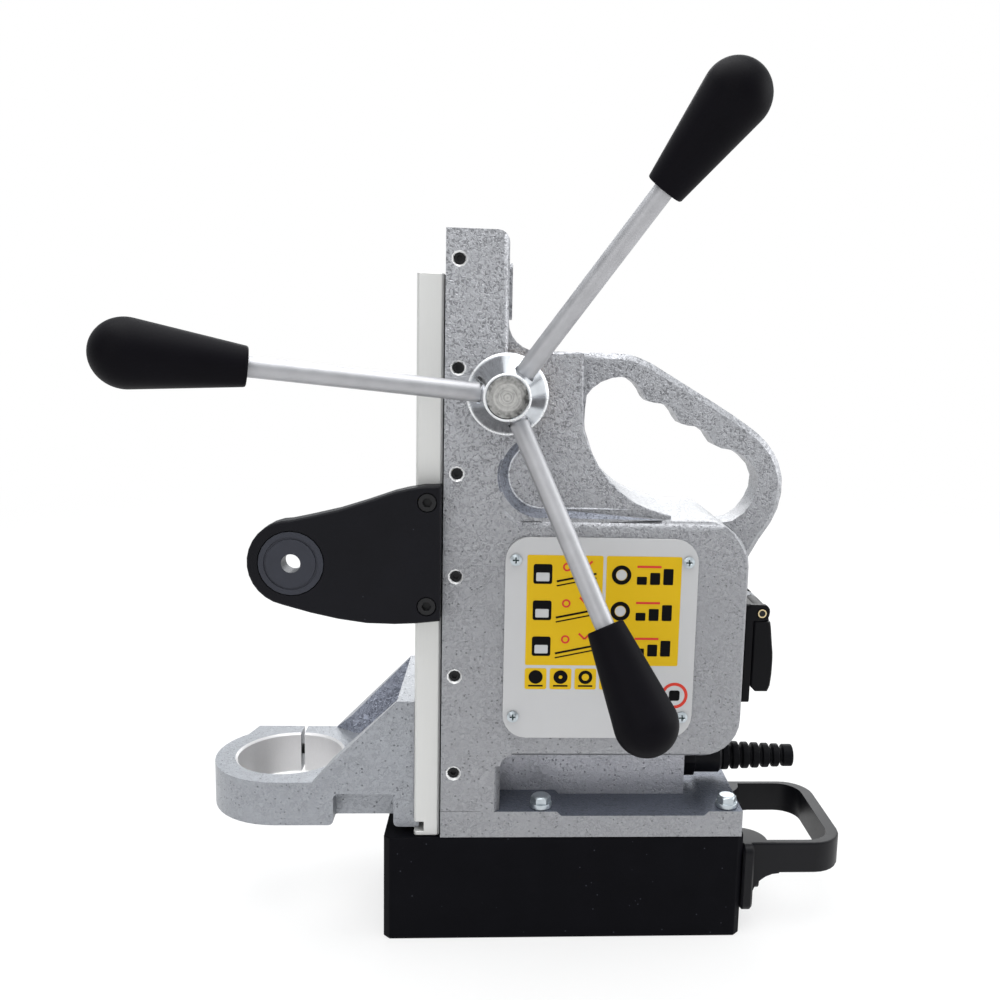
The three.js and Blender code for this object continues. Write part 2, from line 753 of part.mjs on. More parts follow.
const column = prismZ(columnPlan, lugTop - overrun, columnTop)
  .intersect(prismY(columnOutline, -frameHalf, frameHalf));
const controlBox = prismY(boxOutline, -frameHalf, frameHalf, boxEdge)
  .intersect(prismX(boxSection, columnRear - 2 * overrun, boxRear + overrun));
const handlePlate = cut(
  prismY(handleOutline, -handleHalfWidth, handleHalfWidth, handleEdge),
  prismY(fingerHoleShares.map(alongHandle), -frameHalf, frameHalf));
addPiece('frame_casting', cut(join(
  prismY(footOutline, -frameHalf, frameHalf),
  column,
  controlBox,
  prismY(blockOutline, -blockHalfWidth, blockHalfWidth, blockEdge),
  prismY(cornerFill(stepFillet, boxTop, 1), -frameHalf, frameHalf, stepSlope),
  prismY(cornerFill(shoulderFillet, shoulderHeight, 1), -blockHalfWidth, blockHalfWidth),
  prismY(cornerFill(recessFillet, boxBottom, -1), -frameHalf, frameHalf),
  handlePlate,
  block(columnRear - overrun, webRear, -webHalfWidth, webHalfWidth, footTop - overrun, boxBottom + overrun),
  prismX(roundedRect(-half(padWidth), lugTop + padLow, half(padWidth), lugTop + padLow + padHeight,
    padCorner, 2), columnRear - overrun, columnRear + padRise),
  prismX(roundedRect(-half(socketWidth) - rearPadMargin, socketBottom - rearPadMargin,
    half(socketWidth) + rearPadMargin, socketTop + rearPadMargin, rearPadMargin, 3),
  boxRear - overrun, boxRear + rearPadRise),
), castingTools), looks.casting);

// Foot bolts with captive washers
const washerSeat = lugTop + seatGap;
const boltSeat = washerSeat + washerThickness;
footBoltPlaces.forEach(([x, y], i) => {
  const cone = turned([
    [0, -overrun], [boltHeadAcross, -overrun],
    [boltHeadAcross, boltHeadHeight + boltHeadChamfer - half(boltHeadAcross)],
    [half(boltHeadAcross) - boltHeadChamfer, boltHeadHeight], [0, boltHeadHeight],
  ], [x, y, boltSeat], up, 12);
  const head = solid(extrude(hexagon(boltHeadAcross), boltHeadHeight).translate(x, y, boltSeat));
  addPiece(`foot_bolt_${i + 1}`, join(
    head.intersect(cone),
    cylinder([x, y, washerSeat], up, washerThickness + seatGap, washerRadius, 16),
    cylinder([x, y, boltSeat], down, boltLength, boltShank, 10)), looks.zinc);
});

// Side plate and its screws, then the far panel with the magnet switch
const coverOutline = roundedRect(
  coverX, coverBottom, coverX + coverLength, coverBottom + coverHeight, coverCorner, 6);
const coverHoles = coverScrewPlaces.map(([x, z]) => cylinder(
  [x, -coverFace - overrun, z], inward, 2 * (coverFace + overrun), coverScrewShank + threadGap, 10));
const addCoverScrews = (name, side) => coverScrewPlaces.forEach(([x, z], i) => addPiece(
  `${name}_${i + 1}`, crossScrew([x, side * (coverFace + seatGap), z], side < 0 ? inward : outward,
    coverScrewShank, coverScrewLength + coverThickness, coverScrewHead, coverScrewHeadHeight), looks.zinc));
addPiece('side_cover_plate', cut(prismY(coverOutline, -coverFace, -coverSeat), coverHoles), looks.plate);
addCoverScrews('side_cover_screw', -1);
addPiece('control_panel', cut(
  prismY(coverOutline, coverSeat, coverFace),
  coverHoles,
  block(coverMiddleX - half(switchLength), coverMiddleX + half(switchLength), 0, coverFace + overrun,
    coverMiddleZ - half(switchHeight), coverMiddleZ + half(switchHeight)),
), looks.plate);
addCoverScrews('control_panel_screw', 1);

const bezelSeat = coverFace + seatGap;
const bezelFace = bezelSeat + switchBezel;
const pivotY = bezelFace - rockerPivotDepth;
const switchBack = coverSeat - switchDepth;
const aroundSwitch = (margin, corner) => roundedRect(
  coverMiddleX - half(switchLength) - margin, coverMiddleZ - half(switchHeight) - margin,
  coverMiddleX + half(switchLength) + margin, coverMiddleZ + half(switchHeight) + margin, corner, 3);
const rockerHalf = half(switchHeight) - switchBezel - rockerGap;
const rockerTilt = THREE.MathUtils.degToRad(rockerTiltDegrees);
const pocketFloor = pivotY - rockerDepth - rockerRoom;
const rockerWidth = half(switchLength) - switchBezel - rockerGap;
const rockerReach = rockerWidth + rockerPinLength;
addPiece('magnet_switch_body', cut(
  join(
    prismY(aroundSwitch(switchBezel, switchCorner), bezelSeat, bezelFace, half(rockerGap)),
    prismY(aroundSwitch(-seatGap, switchCorner), switchBack, bezelSeat + half(switchBezel))),
  prismY(aroundSwitch(-switchBezel, half(switchCorner)), pocketFloor, bezelFace + overrun),
  cylinder([coverMiddleX - rockerReach - seatGap, pivotY, coverMiddleZ], right,
    2 * (rockerReach + seatGap), rockerPinRadius + seatGap, 12),
), looks.plastic);
const rockerLip = rockerFace + rockerHalf * Math.tan(rockerTilt);
const rockerOutline = [
  [-rockerDepth, -half(rockerHalf)], [rockerLip, -rockerHalf], [rockerFace, 0], [rockerLip, rockerHalf],
  [-rockerDepth, half(rockerHalf)],
].map(([y, z]) => new THREE.Vector2(y, z).rotateAround(new THREE.Vector2(), rockerTilt))
  .map((p) => [pivotY + p.x, coverMiddleZ + p.y]);
addPiece('magnet_switch_rocker', join(
  prismX(rockerOutline, coverMiddleX - rockerWidth, coverMiddleX + rockerWidth),
  cylinder([coverMiddleX - rockerReach, pivotY, coverMiddleZ], right, 2 * rockerReach, rockerPinRadius, 12),
), looks.red);

// Rectifier and terminal block on the chamber's floor
const floorSeat = chamberFloor + seatGap;
const rectifierX = columnRear + rectifierReach;
const terminalX = columnRear + terminalReach;
const terminalHalf = half(terminalDepth);
const terminalBodyHalf = half(terminalWays * terminalPitch);
const terminalMiddle = floorSeat + half(terminalHeight);
addPiece('rectifier_block', block(rectifierX - half(rectifierSide), rectifierX + half(rectifierSide),
  -half(rectifierSide), half(rectifierSide), floorSeat, floorSeat + rectifierHeight), looks.plastic);
const wayPlaces = Array.from({ length: terminalWays }, (_, i) => (i - half(terminalWays - 1)) * terminalPitch);
addPiece('terminal_block', cut(
  block(terminalX - terminalHalf, terminalX + terminalHalf, -terminalBodyHalf, terminalBodyHalf,
    floorSeat, floorSeat + terminalHeight),
  wayPlaces.map((y) => [
    cylinder([terminalX - terminalDepth, y, terminalMiddle], right, 2 * terminalDepth, terminalHoleRadius, 12),
    cylinder([terminalX, y, terminalMiddle], up, terminalHeight, terminalScrewWell, 12),
  ]),
), looks.plastic);

// Rear socket
const socketOutline = roundedRect(
  -half(socketWidth), socketBottom, half(socketWidth), socketTop, socketCorner, 2);
addPiece('socket_gasket', cut(
  prismX(socketOutline, gasketFront, gasketFront + gasketThickness),
  cylinder([gasketFront - overrun, 0, socketMiddle], right, 2 * overrun, socketCupRadius + seatGap, 32),
), looks.rubber);

const pinX = plateRear + lidPinReach;
const pinZ = socketTop - lidPinDrop;
const pinReach = half(socketWidth);
const earInside = pinReach - earThickness;
const lidKnuckle = lidPinReach - seatGap;
const earRound = earReach - lidPinReach;
const earLow = pinZ - earRound;
const earOutline = [
  [plateFront + half(socketPlate), earLow],
  ...arcPoints(pinX, pinZ, earRound, -half(Math.PI), 0, 4),
  ...arcPoints(plateRear + earReach - earCorner, socketTop - earCorner, earCorner, 0, half(Math.PI), 4),
  [plateFront + half(socketPlate), socketTop],
];
const recessFloor = plateRear - socketRecessDepth;
const cupBack = recessFloor - socketFloor;
addPiece('socket_body', cut(
  join(
    prismX(socketOutline, plateFront, plateRear),
    cylinder([cupBack, 0, socketMiddle], right, plateFront + half(socketPlate) - cupBack, socketCupRadius, 32),
    prismY(earOutline, -pinReach, -earInside),
    prismY(earOutline, earInside, pinReach)),
  cylinder([recessFloor, 0, socketMiddle], right, socketRecessDepth + overrun, socketRecessRadius, 32),
  both((side) => cylinder([cupBack - overrun, side * contactSpread, socketMiddle], right,
    socketFloor + 2 * overrun, contactRadius, 16)),
  cylinder([pinX, -pinReach - overrun, pinZ], inward, 2 * (pinReach + overrun), lidPinRadius + threadGap, 16),
), looks.plastic);
addPiece('lid_hinge_pin', cylinder([pinX, -pinReach - seatGap, pinZ], inward, 2 * (pinReach + seatGap),
  lidPinRadius, 16), looks.brass);

const springRadius = lidPinRadius + seatGap + springWire;
const springSteps = (springTurns + half(1)) * springStepsPerTurn;
const springPath = Array.from({ length: springSteps + 1 }, (_, i) => {
  const angle = Math.PI * (1 + (2 * i) / springStepsPerTurn);
  return new THREE.Vector3(pinX + springRadius * Math.cos(angle),
    springHalfLength * ((2 * i) / springSteps - 1), pinZ + springRadius * Math.sin(angle));
});
const springEnds = [springPath[0], springPath[springSteps]].map((end) => new THREE.Vector3(
  end.x, end.y, pinZ - springLeg));
const springLine = [springEnds[0], ...springPath, springEnds[1]];
// The least gap between two places on a wire that lie more than half a turn apart along it
function leastGap(path, radius, apart) {
  const points = path.slice(1).flatMap((end, i) => Array.from(
    { length: springStepsPerTurn }, (_, k) => path[i].clone().lerp(end, k / springStepsPerTurn)));
  const distances = points.flatMap((point, i) => points.slice(i + apart).map((other) => point.distanceTo(other)));
  return distances.reduce((least, distance) => Math.min(least, distance)) - 2 * radius;
}
const springGap = leastGap(springLine, springWire, half(springStepsPerTurn ** 2));
console.log(`The least gap of the lid's spring to itself is ${springGap.toFixed(3)} mm`);
addPiece('lid_spring', wire(springLine, springWire, springSides), looks.steel);

const lidBottom = socketBottom + lidRise;
// The pocket clears the spring's legs at every angle of the lid
const springRoom = Math.hypot(springRadius + springWire, springLeg) + seatGap;
const lidRim = plateRear + seatGap;
const lidOutline = [
  [lidRim, lidBottom + lidToe], [lidRim + lidToe, lidBottom],
  ...lidOuterShares.map(([u, v]) => [plateRear + u * lidReach, lidBottom + v * (socketTop - lidBottom)]),
  ...arcPoints(pinX, pinZ, lidKnuckle, 0, Math.PI, 8),
  [lidRim, pinZ - lidKnuckle],
];
const earClearance = (y0, y1) => block(lidRim - overrun, plateRear + lidReach + overrun, y0, y1,
  earLow - seatGap, socketTop + 2 * overrun);
addPiece('socket_lid', cut(
  prismY(lidOutline, -pinReach, pinReach, lidEdge),
  earClearance(-pinReach - overrun, -earInside + seatGap),
  earClearance(earInside - seatGap, pinReach + overrun),
  block(lidRim - overrun, plateRear + lidReach - 2 * lidWall, -pinReach + lidWall, pinReach - lidWall,
    lidBottom + lidWall, pinZ - lidKnuckle),
  block(lidRim - overrun, pinX + springRadius + springWire + seatGap, -springPocketHalf, springPocketHalf,
    pinZ - springRoom, socketTop + overrun),
  cylinder([pinX, -pinReach - overrun, pinZ], inward, 2 * (pinReach + overrun), lidPinRadius + seatGap, 16),
), looks.plastic);

// Cable gland and strain relief
const glandFace = webRear + seatGap;
const glandEnd = glandFace + glandReach;
const noseStart = glandFace + half(glandNutLength);
const noseLength = glandEnd - noseStart;
addPiece('cable_gland', cut(
  join(
    cylinder([webRear - glandThreadLength, 0, glandHeight], right, glandThreadLength + glandNutLength,
      glandThreadRadius, 20),
    prismX(hexagon(glandNutAcross).map(([y, z]) => [y, glandHeight + z]), glandFace, glandFace + glandNutLength),
    turned([[0, 0], [glandRadius, 0], [glandRadius, noseLength - glandNoseEdge],
      [glandRadius - glandNoseEdge, noseLength], [0, noseLength]], [noseStart, 0, glandHeight], right, 24)),
  cylinder([webRear - 2 * glandThreadLength, 0, glandHeight], right, 3 * glandThreadLength + glandReach,
    glandBore, 16),
  cylinder([glandEnd - glandSeatDepth, 0, glandHeight], right, glandSeatDepth + overrun, glandSeatRadius, 20),
), looks.plastic);
const bootRoot = glandSeatRadius - seatGap;
const bootRadiusAt = (i) => bootStartRadius + (i / (bootRibs - 1)) * (bootEndRadius - bootStartRadius);
const bootProfile = [[bootBore, 0], [bootRoot, 0], [bootRoot, glandSeatDepth]];
for (let i = 0; i < bootRibs; i += 1) {
  const from = glandSeatDepth + (i * bootLength) / bootRibs;
  const next = from + bootLength / bootRibs;
  const to = from + (bootRibShare * bootLength) / bootRibs;
  const radius = bootRadiusAt(i);
  if (i > 0) bootProfile.push([bootRadiusAt(i - 1) - bootGroove, from]);
  bootProfile.push([radius, from]);
  if (i < bootRibs - 1) bootProfile.push([radius, to], [radius - bootGroove, to]);
  else bootProfile.push([radius, next - bootTipEdge], [radius - bootTipEdge, next], [bootBore, next]);
}
bootProfile.push([bootBore, 0]);
addPiece('strain_relief_boot', turned(
  bootProfile, [glandEnd - glandSeatDepth + seatGap, 0, glandHeight], right, 16), looks.rubber);

// Rear grip: a bent strip on two feet, with a lobe and a gusset at each foot
const gripFront = magnetRear + seatGap;
const gripRear = gripFront + gripReach;
const gripBottom = gripTop - gripHeight;
const gripInside = gripHalfSpan - gripArm;
const gripFootRear = gripFront + gripFootDepth;
const gripFootMiddle = gripFront + half(gripFootDepth);
const gripPlan = roundedRect(gripFront, -gripHalfSpan, gripRear, gripHalfSpan, [0, gripBend, gripBend, 0], 7);
const gripHole = roundedRect(gripFront - overrun, -gripInside, gripRear - gripBar, gripInside,
  [0, gripBend - gripArm, gripBend - gripArm, 0], 7);
const gripFootOutline = (y0, y1) => roundedRect(y0, gripFootBottom, y1, gripTop, gripFootCorner, 4);
const gripGussetOutline = [
  [gripFootMiddle, gripBottom + gripFootCorner], [gripFootMiddle, gripBottom - gripGusset],
  ...arcPoints(gripFootRear + gripGusset, gripBottom - gripGusset, gripGusset, Math.PI, half(Math.PI), 6),
  [gripFootRear + gripGusset, gripBottom + gripFootCorner],
];
const gripSide = (side, y0, y1) => (side < 0 ? [-y1, -y0] : [y0, y1]);
addPiece('rear_grip', cut(
  join(
    cut(prismZ(gripPlan, gripBottom, gripTop, gripEdge, 2),
      prismZ(gripHole, gripBottom - overrun, gripTop + overrun)),
    both((side) => [
      prismX(gripFootOutline(...gripSide(side, gripInside - gripLobe, gripHalfSpan + gripFootLap)),
        gripFront, gripFootRear, gripEdge),
      prismY(gripGussetOutline, ...gripSide(side, gripInside, gripHalfSpan)),
      cylinder([gripFront, side * gripInside, gripBottom], up, gripHeight, gripLobe, 32).intersect(block(
        gripFootMiddle, gripRear, ...gripSide(side, gripInside - gripLobe - overrun, gripInside + half(gripArm)),
        gripBottom, gripTop)),
    ])),
  both((side) => cylinder([gripFront - overrun, side * gripScrewY, gripScrewHeight], right,
    gripFootDepth + 2 * overrun, gripScrewRadius + threadGap, 12)),
), looks.plastic);
both((side) => [gripFootRear + seatGap, side * gripScrewY, gripScrewHeight]).forEach((seat, i) => addPiece(
  `rear_grip_screw_${i + 1}`, socketScrew(seat, left, gripScrewRadius, gripScrewLength, gripScrewHead,
    gripScrewHeadHeight, armSocketAcross), looks.zinc));

// Gib strip and its screws
const gibPlan = [columnFront, tongueEnd].map((x) => [x, -tongueHalfAt(x) - slidingGap]);
addPiece('gib_strip', prismZ(
  [...gibPlan, ...gibPlan.map(([x, y]) => [x, y - gibWidth]).reverse()],
  frameBottom + gibEndInset, columnTop - gibEndInset), looks.bronze);
const gibScrewSeat = -frameHalf + gibScrewSink + gibScrewRadius;
gibScrewHeights.forEach((z, i) => addPiece(`gib_screw_${i + 1}`, socketScrew(
  [gibScrewX, gibScrewSeat, z], inward, gibScrewRadius, gibScrewTip - gibScrewSeat, gibScrewRadius,
  gibScrewRadius, gibSocketAcross), looks.blackSteel));

// Feed: bushes, shaft with its pinion, circlip, hub and key
const feedPoint = (y) => [feedAxisX, y, feedAxisHeight];
addPiece('pinion_bush_near', ring(feedPoint(-frameHalf), inward, frameHalf - pinionHalfWidth - slidingGap,
  nearBush, shaftRadius + seatGap, 24), looks.bronze);
addPiece('pinion_bush_far', ring(feedPoint(pinionHalfWidth + 2 * slidingGap), inward,
  frameHalf - pinionHalfWidth - 2 * slidingGap, farBush, shaftRadius + seatGap, 24), looks.bronze);

const flankSlope = Math.tan(THREE.MathUtils.degToRad(flankAngleDegrees));
const toothHalf = half(half(toothPitch)) * toothSlimShare;
const toothTip = toothModule * toothTipShare;
const toothRoot = toothModule * toothRootShare;
const toothOutline = [
  [-toothRoot, -toothHalf - toothRoot * flankSlope], [toothTip, -toothHalf + toothTip * flankSlope],
  [toothTip, toothHalf - toothTip * flankSlope], [-toothRoot, toothHalf + toothRoot * flankSlope],
];
const pinionOutline = Array.from({ length: pinionTeeth }, (_, i) => Math.PI + (2 * Math.PI * i) / pinionTeeth)
  .flatMap((angle) => toothOutline.map(([out, across]) => {
    const point = new THREE.Vector2(pitchRadius + out, across).rotateAround(new THREE.Vector2(), angle);
    return [feedAxisX + point.x, feedAxisHeight + point.y];
  }));
const hubBack = -frameHalf - seatGap;
const shaftNear = hubBack - hubBoreDepth + seatGap;
const shaftFar = frameHalf + shaftTail;
const keyMiddle = feedAxisHeight + shaftRadius;
const keyway = (gap) => block(feedAxisX - half(keyWidth) - gap, feedAxisX + half(keyWidth) + gap,
  shaftNear - gap, shaftNear + keyLength + gap, keyMiddle - half(keyHeight) - gap,
  keyMiddle + half(keyHeight) + gap);
addPiece('pinion_shaft', cut(
  join(
    cylinder(feedPoint(shaftNear), inward, shaftFar - shaftNear, shaftRadius, 24),
    prismY(pinionOutline, -pinionHalfWidth, pinionHalfWidth)),
  ring(feedPoint(frameHalf + seatGap), inward, clipWidth + seatGap, shaftRadius + overrun,
    shaftRadius - clipGrooveDepth, 24),
  keyway(slidingGap),
), looks.steel);
addPiece('shaft_circlip', cut(
  ring(feedPoint(frameHalf + seatGap + half(seatGap)), inward, clipWidth, clipRadius,
    shaftRadius - clipGrooveDepth + slidingGap, 24),
  block(feedAxisX - half(clipMouth), feedAxisX + half(clipMouth), frameHalf - overrun, shaftFar + overrun,
    feedAxisHeight, feedAxisHeight + clipRadius + overrun),
), looks.blackSteel);
addPiece('hub_key', keyway(0), looks.steel);

const leverPoint = new THREE.Vector3(feedAxisX, -frameHalf - leverCrossing, feedAxisHeight);
const leverTilt = THREE.MathUtils.degToRad(leverTiltDegrees);
const leverDirections = Array.from({ length: leverCount }, (_, i) => {
  const angle = THREE.MathUtils.degToRad(leverFirstDegrees) - (2 * Math.PI * i) / leverCount;
  return new THREE.Vector3(Math.cos(angle) * Math.cos(leverTilt), -Math.sin(leverTilt),
    Math.sin(angle) * Math.cos(leverTilt));
});
const alongLever = (direction, distance) => leverPoint.clone().addScaledVector(direction, distance);
const hubNose = hubFlangeThickness + hubConeLength;
const hubBore = shaftRadius + slidingGap;
addPiece('feed_hub', cut(
  turned([
    [0, hubBoreDepth], [hubBore, hubBoreDepth], [hubBore, 0], [hubFlangeRadius - hubFlangeLip, 0],
    [hubFlangeRadius, hubFlangeLip], [hubFlangeRadius, hubFlangeThickness - hubFlangeLip],
    [hubConeRadius, hubFlangeThickness], [hubNoseRadius, hubNose - hubNoseChamfer],
    [hubNoseRadius - hubNoseChamfer, hubNose], [0, hubNose],
  ], feedPoint(hubBack), outward, 32),
  keyway(slidingGap),
  leverDirections.map((direction) => cylinder(alongLever(direction, rodRootInset - seatGap), direction,
    hubFlangeRadius, rodRadius + threadGap, 16)),
), looks.polished);

const gripBulb = gripLength - gripEndRadius;
const taperRise = gripBulb - gripBaseEdge;
const gripTaper = Math.asin(gripEndRadius / Math.hypot(gripBaseRadius, taperRise))
  - Math.atan2(gripBaseRadius, taperRise);
const rodHole = rodRadius + threadGap;
const rodLength = gripStart + rodInGrip - rodRootInset;
const gripProfile = [
  [0, rodInGrip + seatGap], [rodHole, rodInGrip + seatGap], [rodHole, 0], [gripBaseRadius - gripBaseEdge, 0],
  [gripBaseRadius - half(half(gripBaseEdge)), half(half(gripBaseEdge))], [gripBaseRadius, gripBaseEdge],
  ...arcPoints(gripBulb, 0, gripEndRadius, half(Math.PI) + gripTaper, 0, 7).map(([d, r]) => [r, d]).slice(0, -1),
  [0, gripLength],
];
leverDirections.forEach((direction, i) => {
  addPiece(`lever_rod_${i + 1}`, turned([
    [0, 0], [rodRadius - rodEdge, 0], [rodRadius, rodEdge], [rodRadius, rodLength - rodEdge],
    [rodRadius - rodEdge, rodLength], [0, rodLength],
  ], alongLever(direction, rodRootInset), direction, 16), looks.steel);
  addPiece(`lever_grip_${i + 1}`, turned(gripProfile, alongLever(direction, gripStart), direction, 20),
    looks.plastic);
});

// Slide with its rack
const armScrewX = half(slideFront + slideRear);
const armScrewHeights = [armScrewLow, armScrewHigh];
const armBack = -slideHalf - seatGap;
const armFace = armBack - armThickness;
const armSeat = armFace + armScrewHeadHeight + armScrewSink;
addPiece('slide_plate', cut(
  join(
    prismZ(roundedRect(slideFront, -slideHalf, slideRear, slideHalf, slideEdge, 1), slideBottom, slideTop),
    prismZ(dovetailPlan(slideRear - overrun, tongueEnd, 0, 0), slideBottom, slideTop)),
  block(rackFront - seatGap, tongueEnd + overrun, -half(rackWidth) - seatGap, half(rackWidth) + seatGap,
    rackLow - seatGap, rackHigh + seatGap),
  block(slideFront - overrun, slideFront + slotDepth, -slideHalf - overrun, slideHalf + overrun,
    slideBottom + slotRise, slideBottom + slotRise + slotHeight),
  armScrewHeights.map((z) => cylinder([armScrewX, -slideHalf - overrun, z], inward,
    overrun + armSeat + armScrewLength + slideHalf + seatGap, armScrewRadius + threadGap, 12)),
), looks.aluminium);

const rackTeeth = strokeTeeth + 2 * rackSpareTeeth;
const rackOutline = [
  [rackFront, rackLow], [rackFront, rackHigh], [pitchLineX - toothRoot, rackHigh],
  ...Array.from({ length: rackTeeth }, (_, i) => rackHigh - (i + half(1)) * toothPitch)
    .flatMap((z) => toothOutline.map(([out, across]) => [pitchLineX + out, z - across])),
  [pitchLineX - toothRoot, rackLow],
];
addPiece('rack', prismY(rackOutline, -half(rackWidth), half(rackWidth)), looks.steel);

// Motor bracket
const bracketBack = slideFront - seatGap;
const slopeEnd = bracketBack - bracketTopDepth - bracketSlopeRun;
const neckX = bracketBack - bracketNeckStart;
const footX = bracketBack - bracketFootDepth;
const pocketBack = bracketBack - bracketTopDepth;
const neckOutline = [
  [bracketBack, bracketFoot], [bracketBack, bracketTop], [pocketBack, bracketTop], [slopeEnd, clampTop],
  [clampX, clampTop], [clampX, clampBottom],
  ...arcPoints(neckX - neckRound, clampBottom + neckRound, neckRound, -half(Math.PI), 0, 3),
  ...arcPoints(neckX + neckRound, neckBottom - neckRound, neckRound, Math.PI, half(Math.PI), 3),
  ...arcPoints(footX - neckRound, neckBottom - neckRound, neckRound, half(Math.PI), 0, 3),
  ...arcPoints(footX + neckRound, bracketFoot + neckRound, neckRound, Math.PI, 1.5 * Math.PI, 3),
];
// The pocket between the ribs of the bracket widens towards its mouth
const pocketFootHalf = bracketHalfWidth - ribFootThickness;
const pocketMouthHalf = bracketHalfWidth - ribTopThickness;
const pocketOutline = [
  [-pocketFootHalf, clampTop], [pocketFootHalf, clampTop], [pocketMouthHalf, bracketTop],
  [pocketMouthHalf, bracketTop + overrun], [-pocketMouthHalf, bracketTop + overrun],
  [-pocketMouthHalf, bracketTop],
];
const lugFront = clampX - clampLugReach;
const lugPlan = [
  [clampX, bracketHalfWidth - clampLugDepth], [clampX, bracketHalfWidth], [lugFront, bracketHalfWidth],
  [lugFront - clampLugSlope, bracketHalfWidth - clampLugDepth],
];
const clampScrewY = bracketHalfWidth - clampScrewInset;
const clampScrewZ = half(clampBottom + clampTop);
const clampSeat = lugFront + clampScrewSink;
const hookLow = slideBottom + slotRise + seatGap;
addPiece('motor_bracket', cut(
  join(
    cut(prismY(neckOutline, -bracketHalfWidth, bracketHalfWidth),
      cylinder([clampX, 0, clampTop], up, bracketTop, scoopRadius, 40),
      prismX(pocketOutline, clampX, pocketBack)),
    block(neckX - neckRound, bracketBack - half(bracketFootDepth), -innerNeckHalf, innerNeckHalf,
      innerNeckBottom, neckBottom + seatGap),
    cylinder([clampX, 0, clampBottom], up, clampThickness, bracketHalfWidth, 48),
    prismZ(lugPlan, clampBottom, clampTop),
    block(bracketBack - overrun, slideFront + hookReach, -bracketHalfWidth, bracketHalfWidth, hookLow,
      hookLow + hookHeight)),
  turned([
    [0, -overrun], [clampRadius + clampChamfer + overrun, -overrun], [clampRadius, clampChamfer],
    [clampRadius, clampThickness - clampChamfer],
    [clampRadius + clampChamfer + overrun, clampThickness + overrun], [0, clampThickness + overrun],
  ], [clampX, 0, clampBottom], up, 48),
  block(clampX, clampX + clampSlit, half(clampRadius), bracketHalfWidth + overrun, clampBottom - overrun,
    clampTop + overrun),
  cylinder([lugFront - 2 * overrun, clampScrewY, clampScrewZ], right,
    2 * overrun + clampScrewSink + clampScrewLength, clampScrewRadius + threadGap, 16),
  cylinder([lugFront - 2 * overrun, clampScrewY, clampScrewZ], right, 2 * overrun + clampScrewSink,
    clampScrewHead + seatGap, 16),
), looks.casting);
addPiece('clamp_screw', socketScrew([clampSeat - seatGap, clampScrewY, clampScrewZ], right, clampScrewRadius,
  clampScrewLength, clampScrewHead, clampScrewHeadHeight, clampSocketAcross), looks.blackSteel);

// Side arm with its bush
const armNoseX = slideRear - armReach;
const armOutline = [
  [slideRear, armNoseHeight + armRise],
  ...armUpperShares.map(([u, v]) => [slideRear - u * armReach, armNoseHeight + v * armRise]),
  ...arcPoints(armNoseX, armNoseHeight, armNoseRadius, half(Math.PI), Math.PI * (half(1) + armNoseTurnShare), 14),
  ...armLowerShares.map(([u, v]) => [slideRear - u * armReach, armNoseHeight - v * armDrop]),
  [slideRear, armNoseHeight - armLowerEndShare * armDrop],
];
addPiece('side_arm', cut(
  prismY(armOutline, armFace, armBack, armEdge),
  cylinder([armNoseX, armFace - overrun, armNoseHeight], inward, overrun + armBushDepth + seatGap,
    armBushRadius + seatGap, 24),
  cylinder([armNoseX, armFace, armNoseHeight], inward, armThickness + overrun, armBushBarrel + seatGap, 16),
  armScrewHeights.map((z) => [
    cylinder([armScrewX, armFace - overrun, z], inward, overrun + armSeat - armFace, armScrewHead + seatGap, 16),
    cylinder([armScrewX, armFace, z], inward, armThickness + overrun, armScrewRadius + threadGap, 10),
  ]),
), looks.blackPaint);
addPiece('arm_bush', turned([
  [armBushBore, 0], [armGrooveRadius, 0], [armGrooveRadius, armGrooveDepth],
  [armGrooveRadius + armGrooveWidth, armGrooveDepth], [armGrooveRadius + armGrooveWidth, 0],
  [armBushRadius, 0], [armBushRadius, armBushDepth], [armBushBarrel, armBushDepth],
  [armBushBarrel, armThickness], [armBushBore, armThickness], [armBushBore, 0],
], [armNoseX, armFace, armNoseHeight], inward, 24), looks.blackPaint);
armScrewHeights.forEach((z, i) => addPiece(`arm_screw_${i + 1}`, socketScrew(
  [armScrewX, armSeat - seatGap, z], inward, armScrewRadius, armScrewLength, armScrewHead,
  armScrewHeadHeight, armSocketAcross), looks.blackSteel));

export default stand;
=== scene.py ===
"""A magnetic drill stand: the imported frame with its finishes, its finer pieces and its label."""

import json
import math
from itertools import product

import bmesh
import bpy
from mathutils import Matrix, Vector


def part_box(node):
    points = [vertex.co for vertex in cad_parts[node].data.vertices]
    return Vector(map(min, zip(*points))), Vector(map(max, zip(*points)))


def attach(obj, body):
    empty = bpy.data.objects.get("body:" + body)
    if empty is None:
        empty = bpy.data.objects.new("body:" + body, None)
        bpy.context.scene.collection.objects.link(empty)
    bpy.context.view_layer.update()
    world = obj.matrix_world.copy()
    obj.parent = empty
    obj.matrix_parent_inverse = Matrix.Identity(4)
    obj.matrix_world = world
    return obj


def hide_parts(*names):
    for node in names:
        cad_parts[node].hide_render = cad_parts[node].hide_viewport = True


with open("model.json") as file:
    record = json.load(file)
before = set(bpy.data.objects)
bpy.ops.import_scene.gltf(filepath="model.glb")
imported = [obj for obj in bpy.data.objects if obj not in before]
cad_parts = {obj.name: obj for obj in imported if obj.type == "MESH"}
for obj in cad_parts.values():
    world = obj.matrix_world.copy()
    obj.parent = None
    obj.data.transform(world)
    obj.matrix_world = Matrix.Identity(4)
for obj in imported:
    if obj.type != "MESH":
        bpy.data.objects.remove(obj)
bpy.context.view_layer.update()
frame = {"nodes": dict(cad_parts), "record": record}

MM = 0.001
REAR = Vector((1, 0, 0))
NEAR = Vector((0, -1, 0))
FAR = Vector((0, 1, 0))
UP = Vector((0, 0, 1))


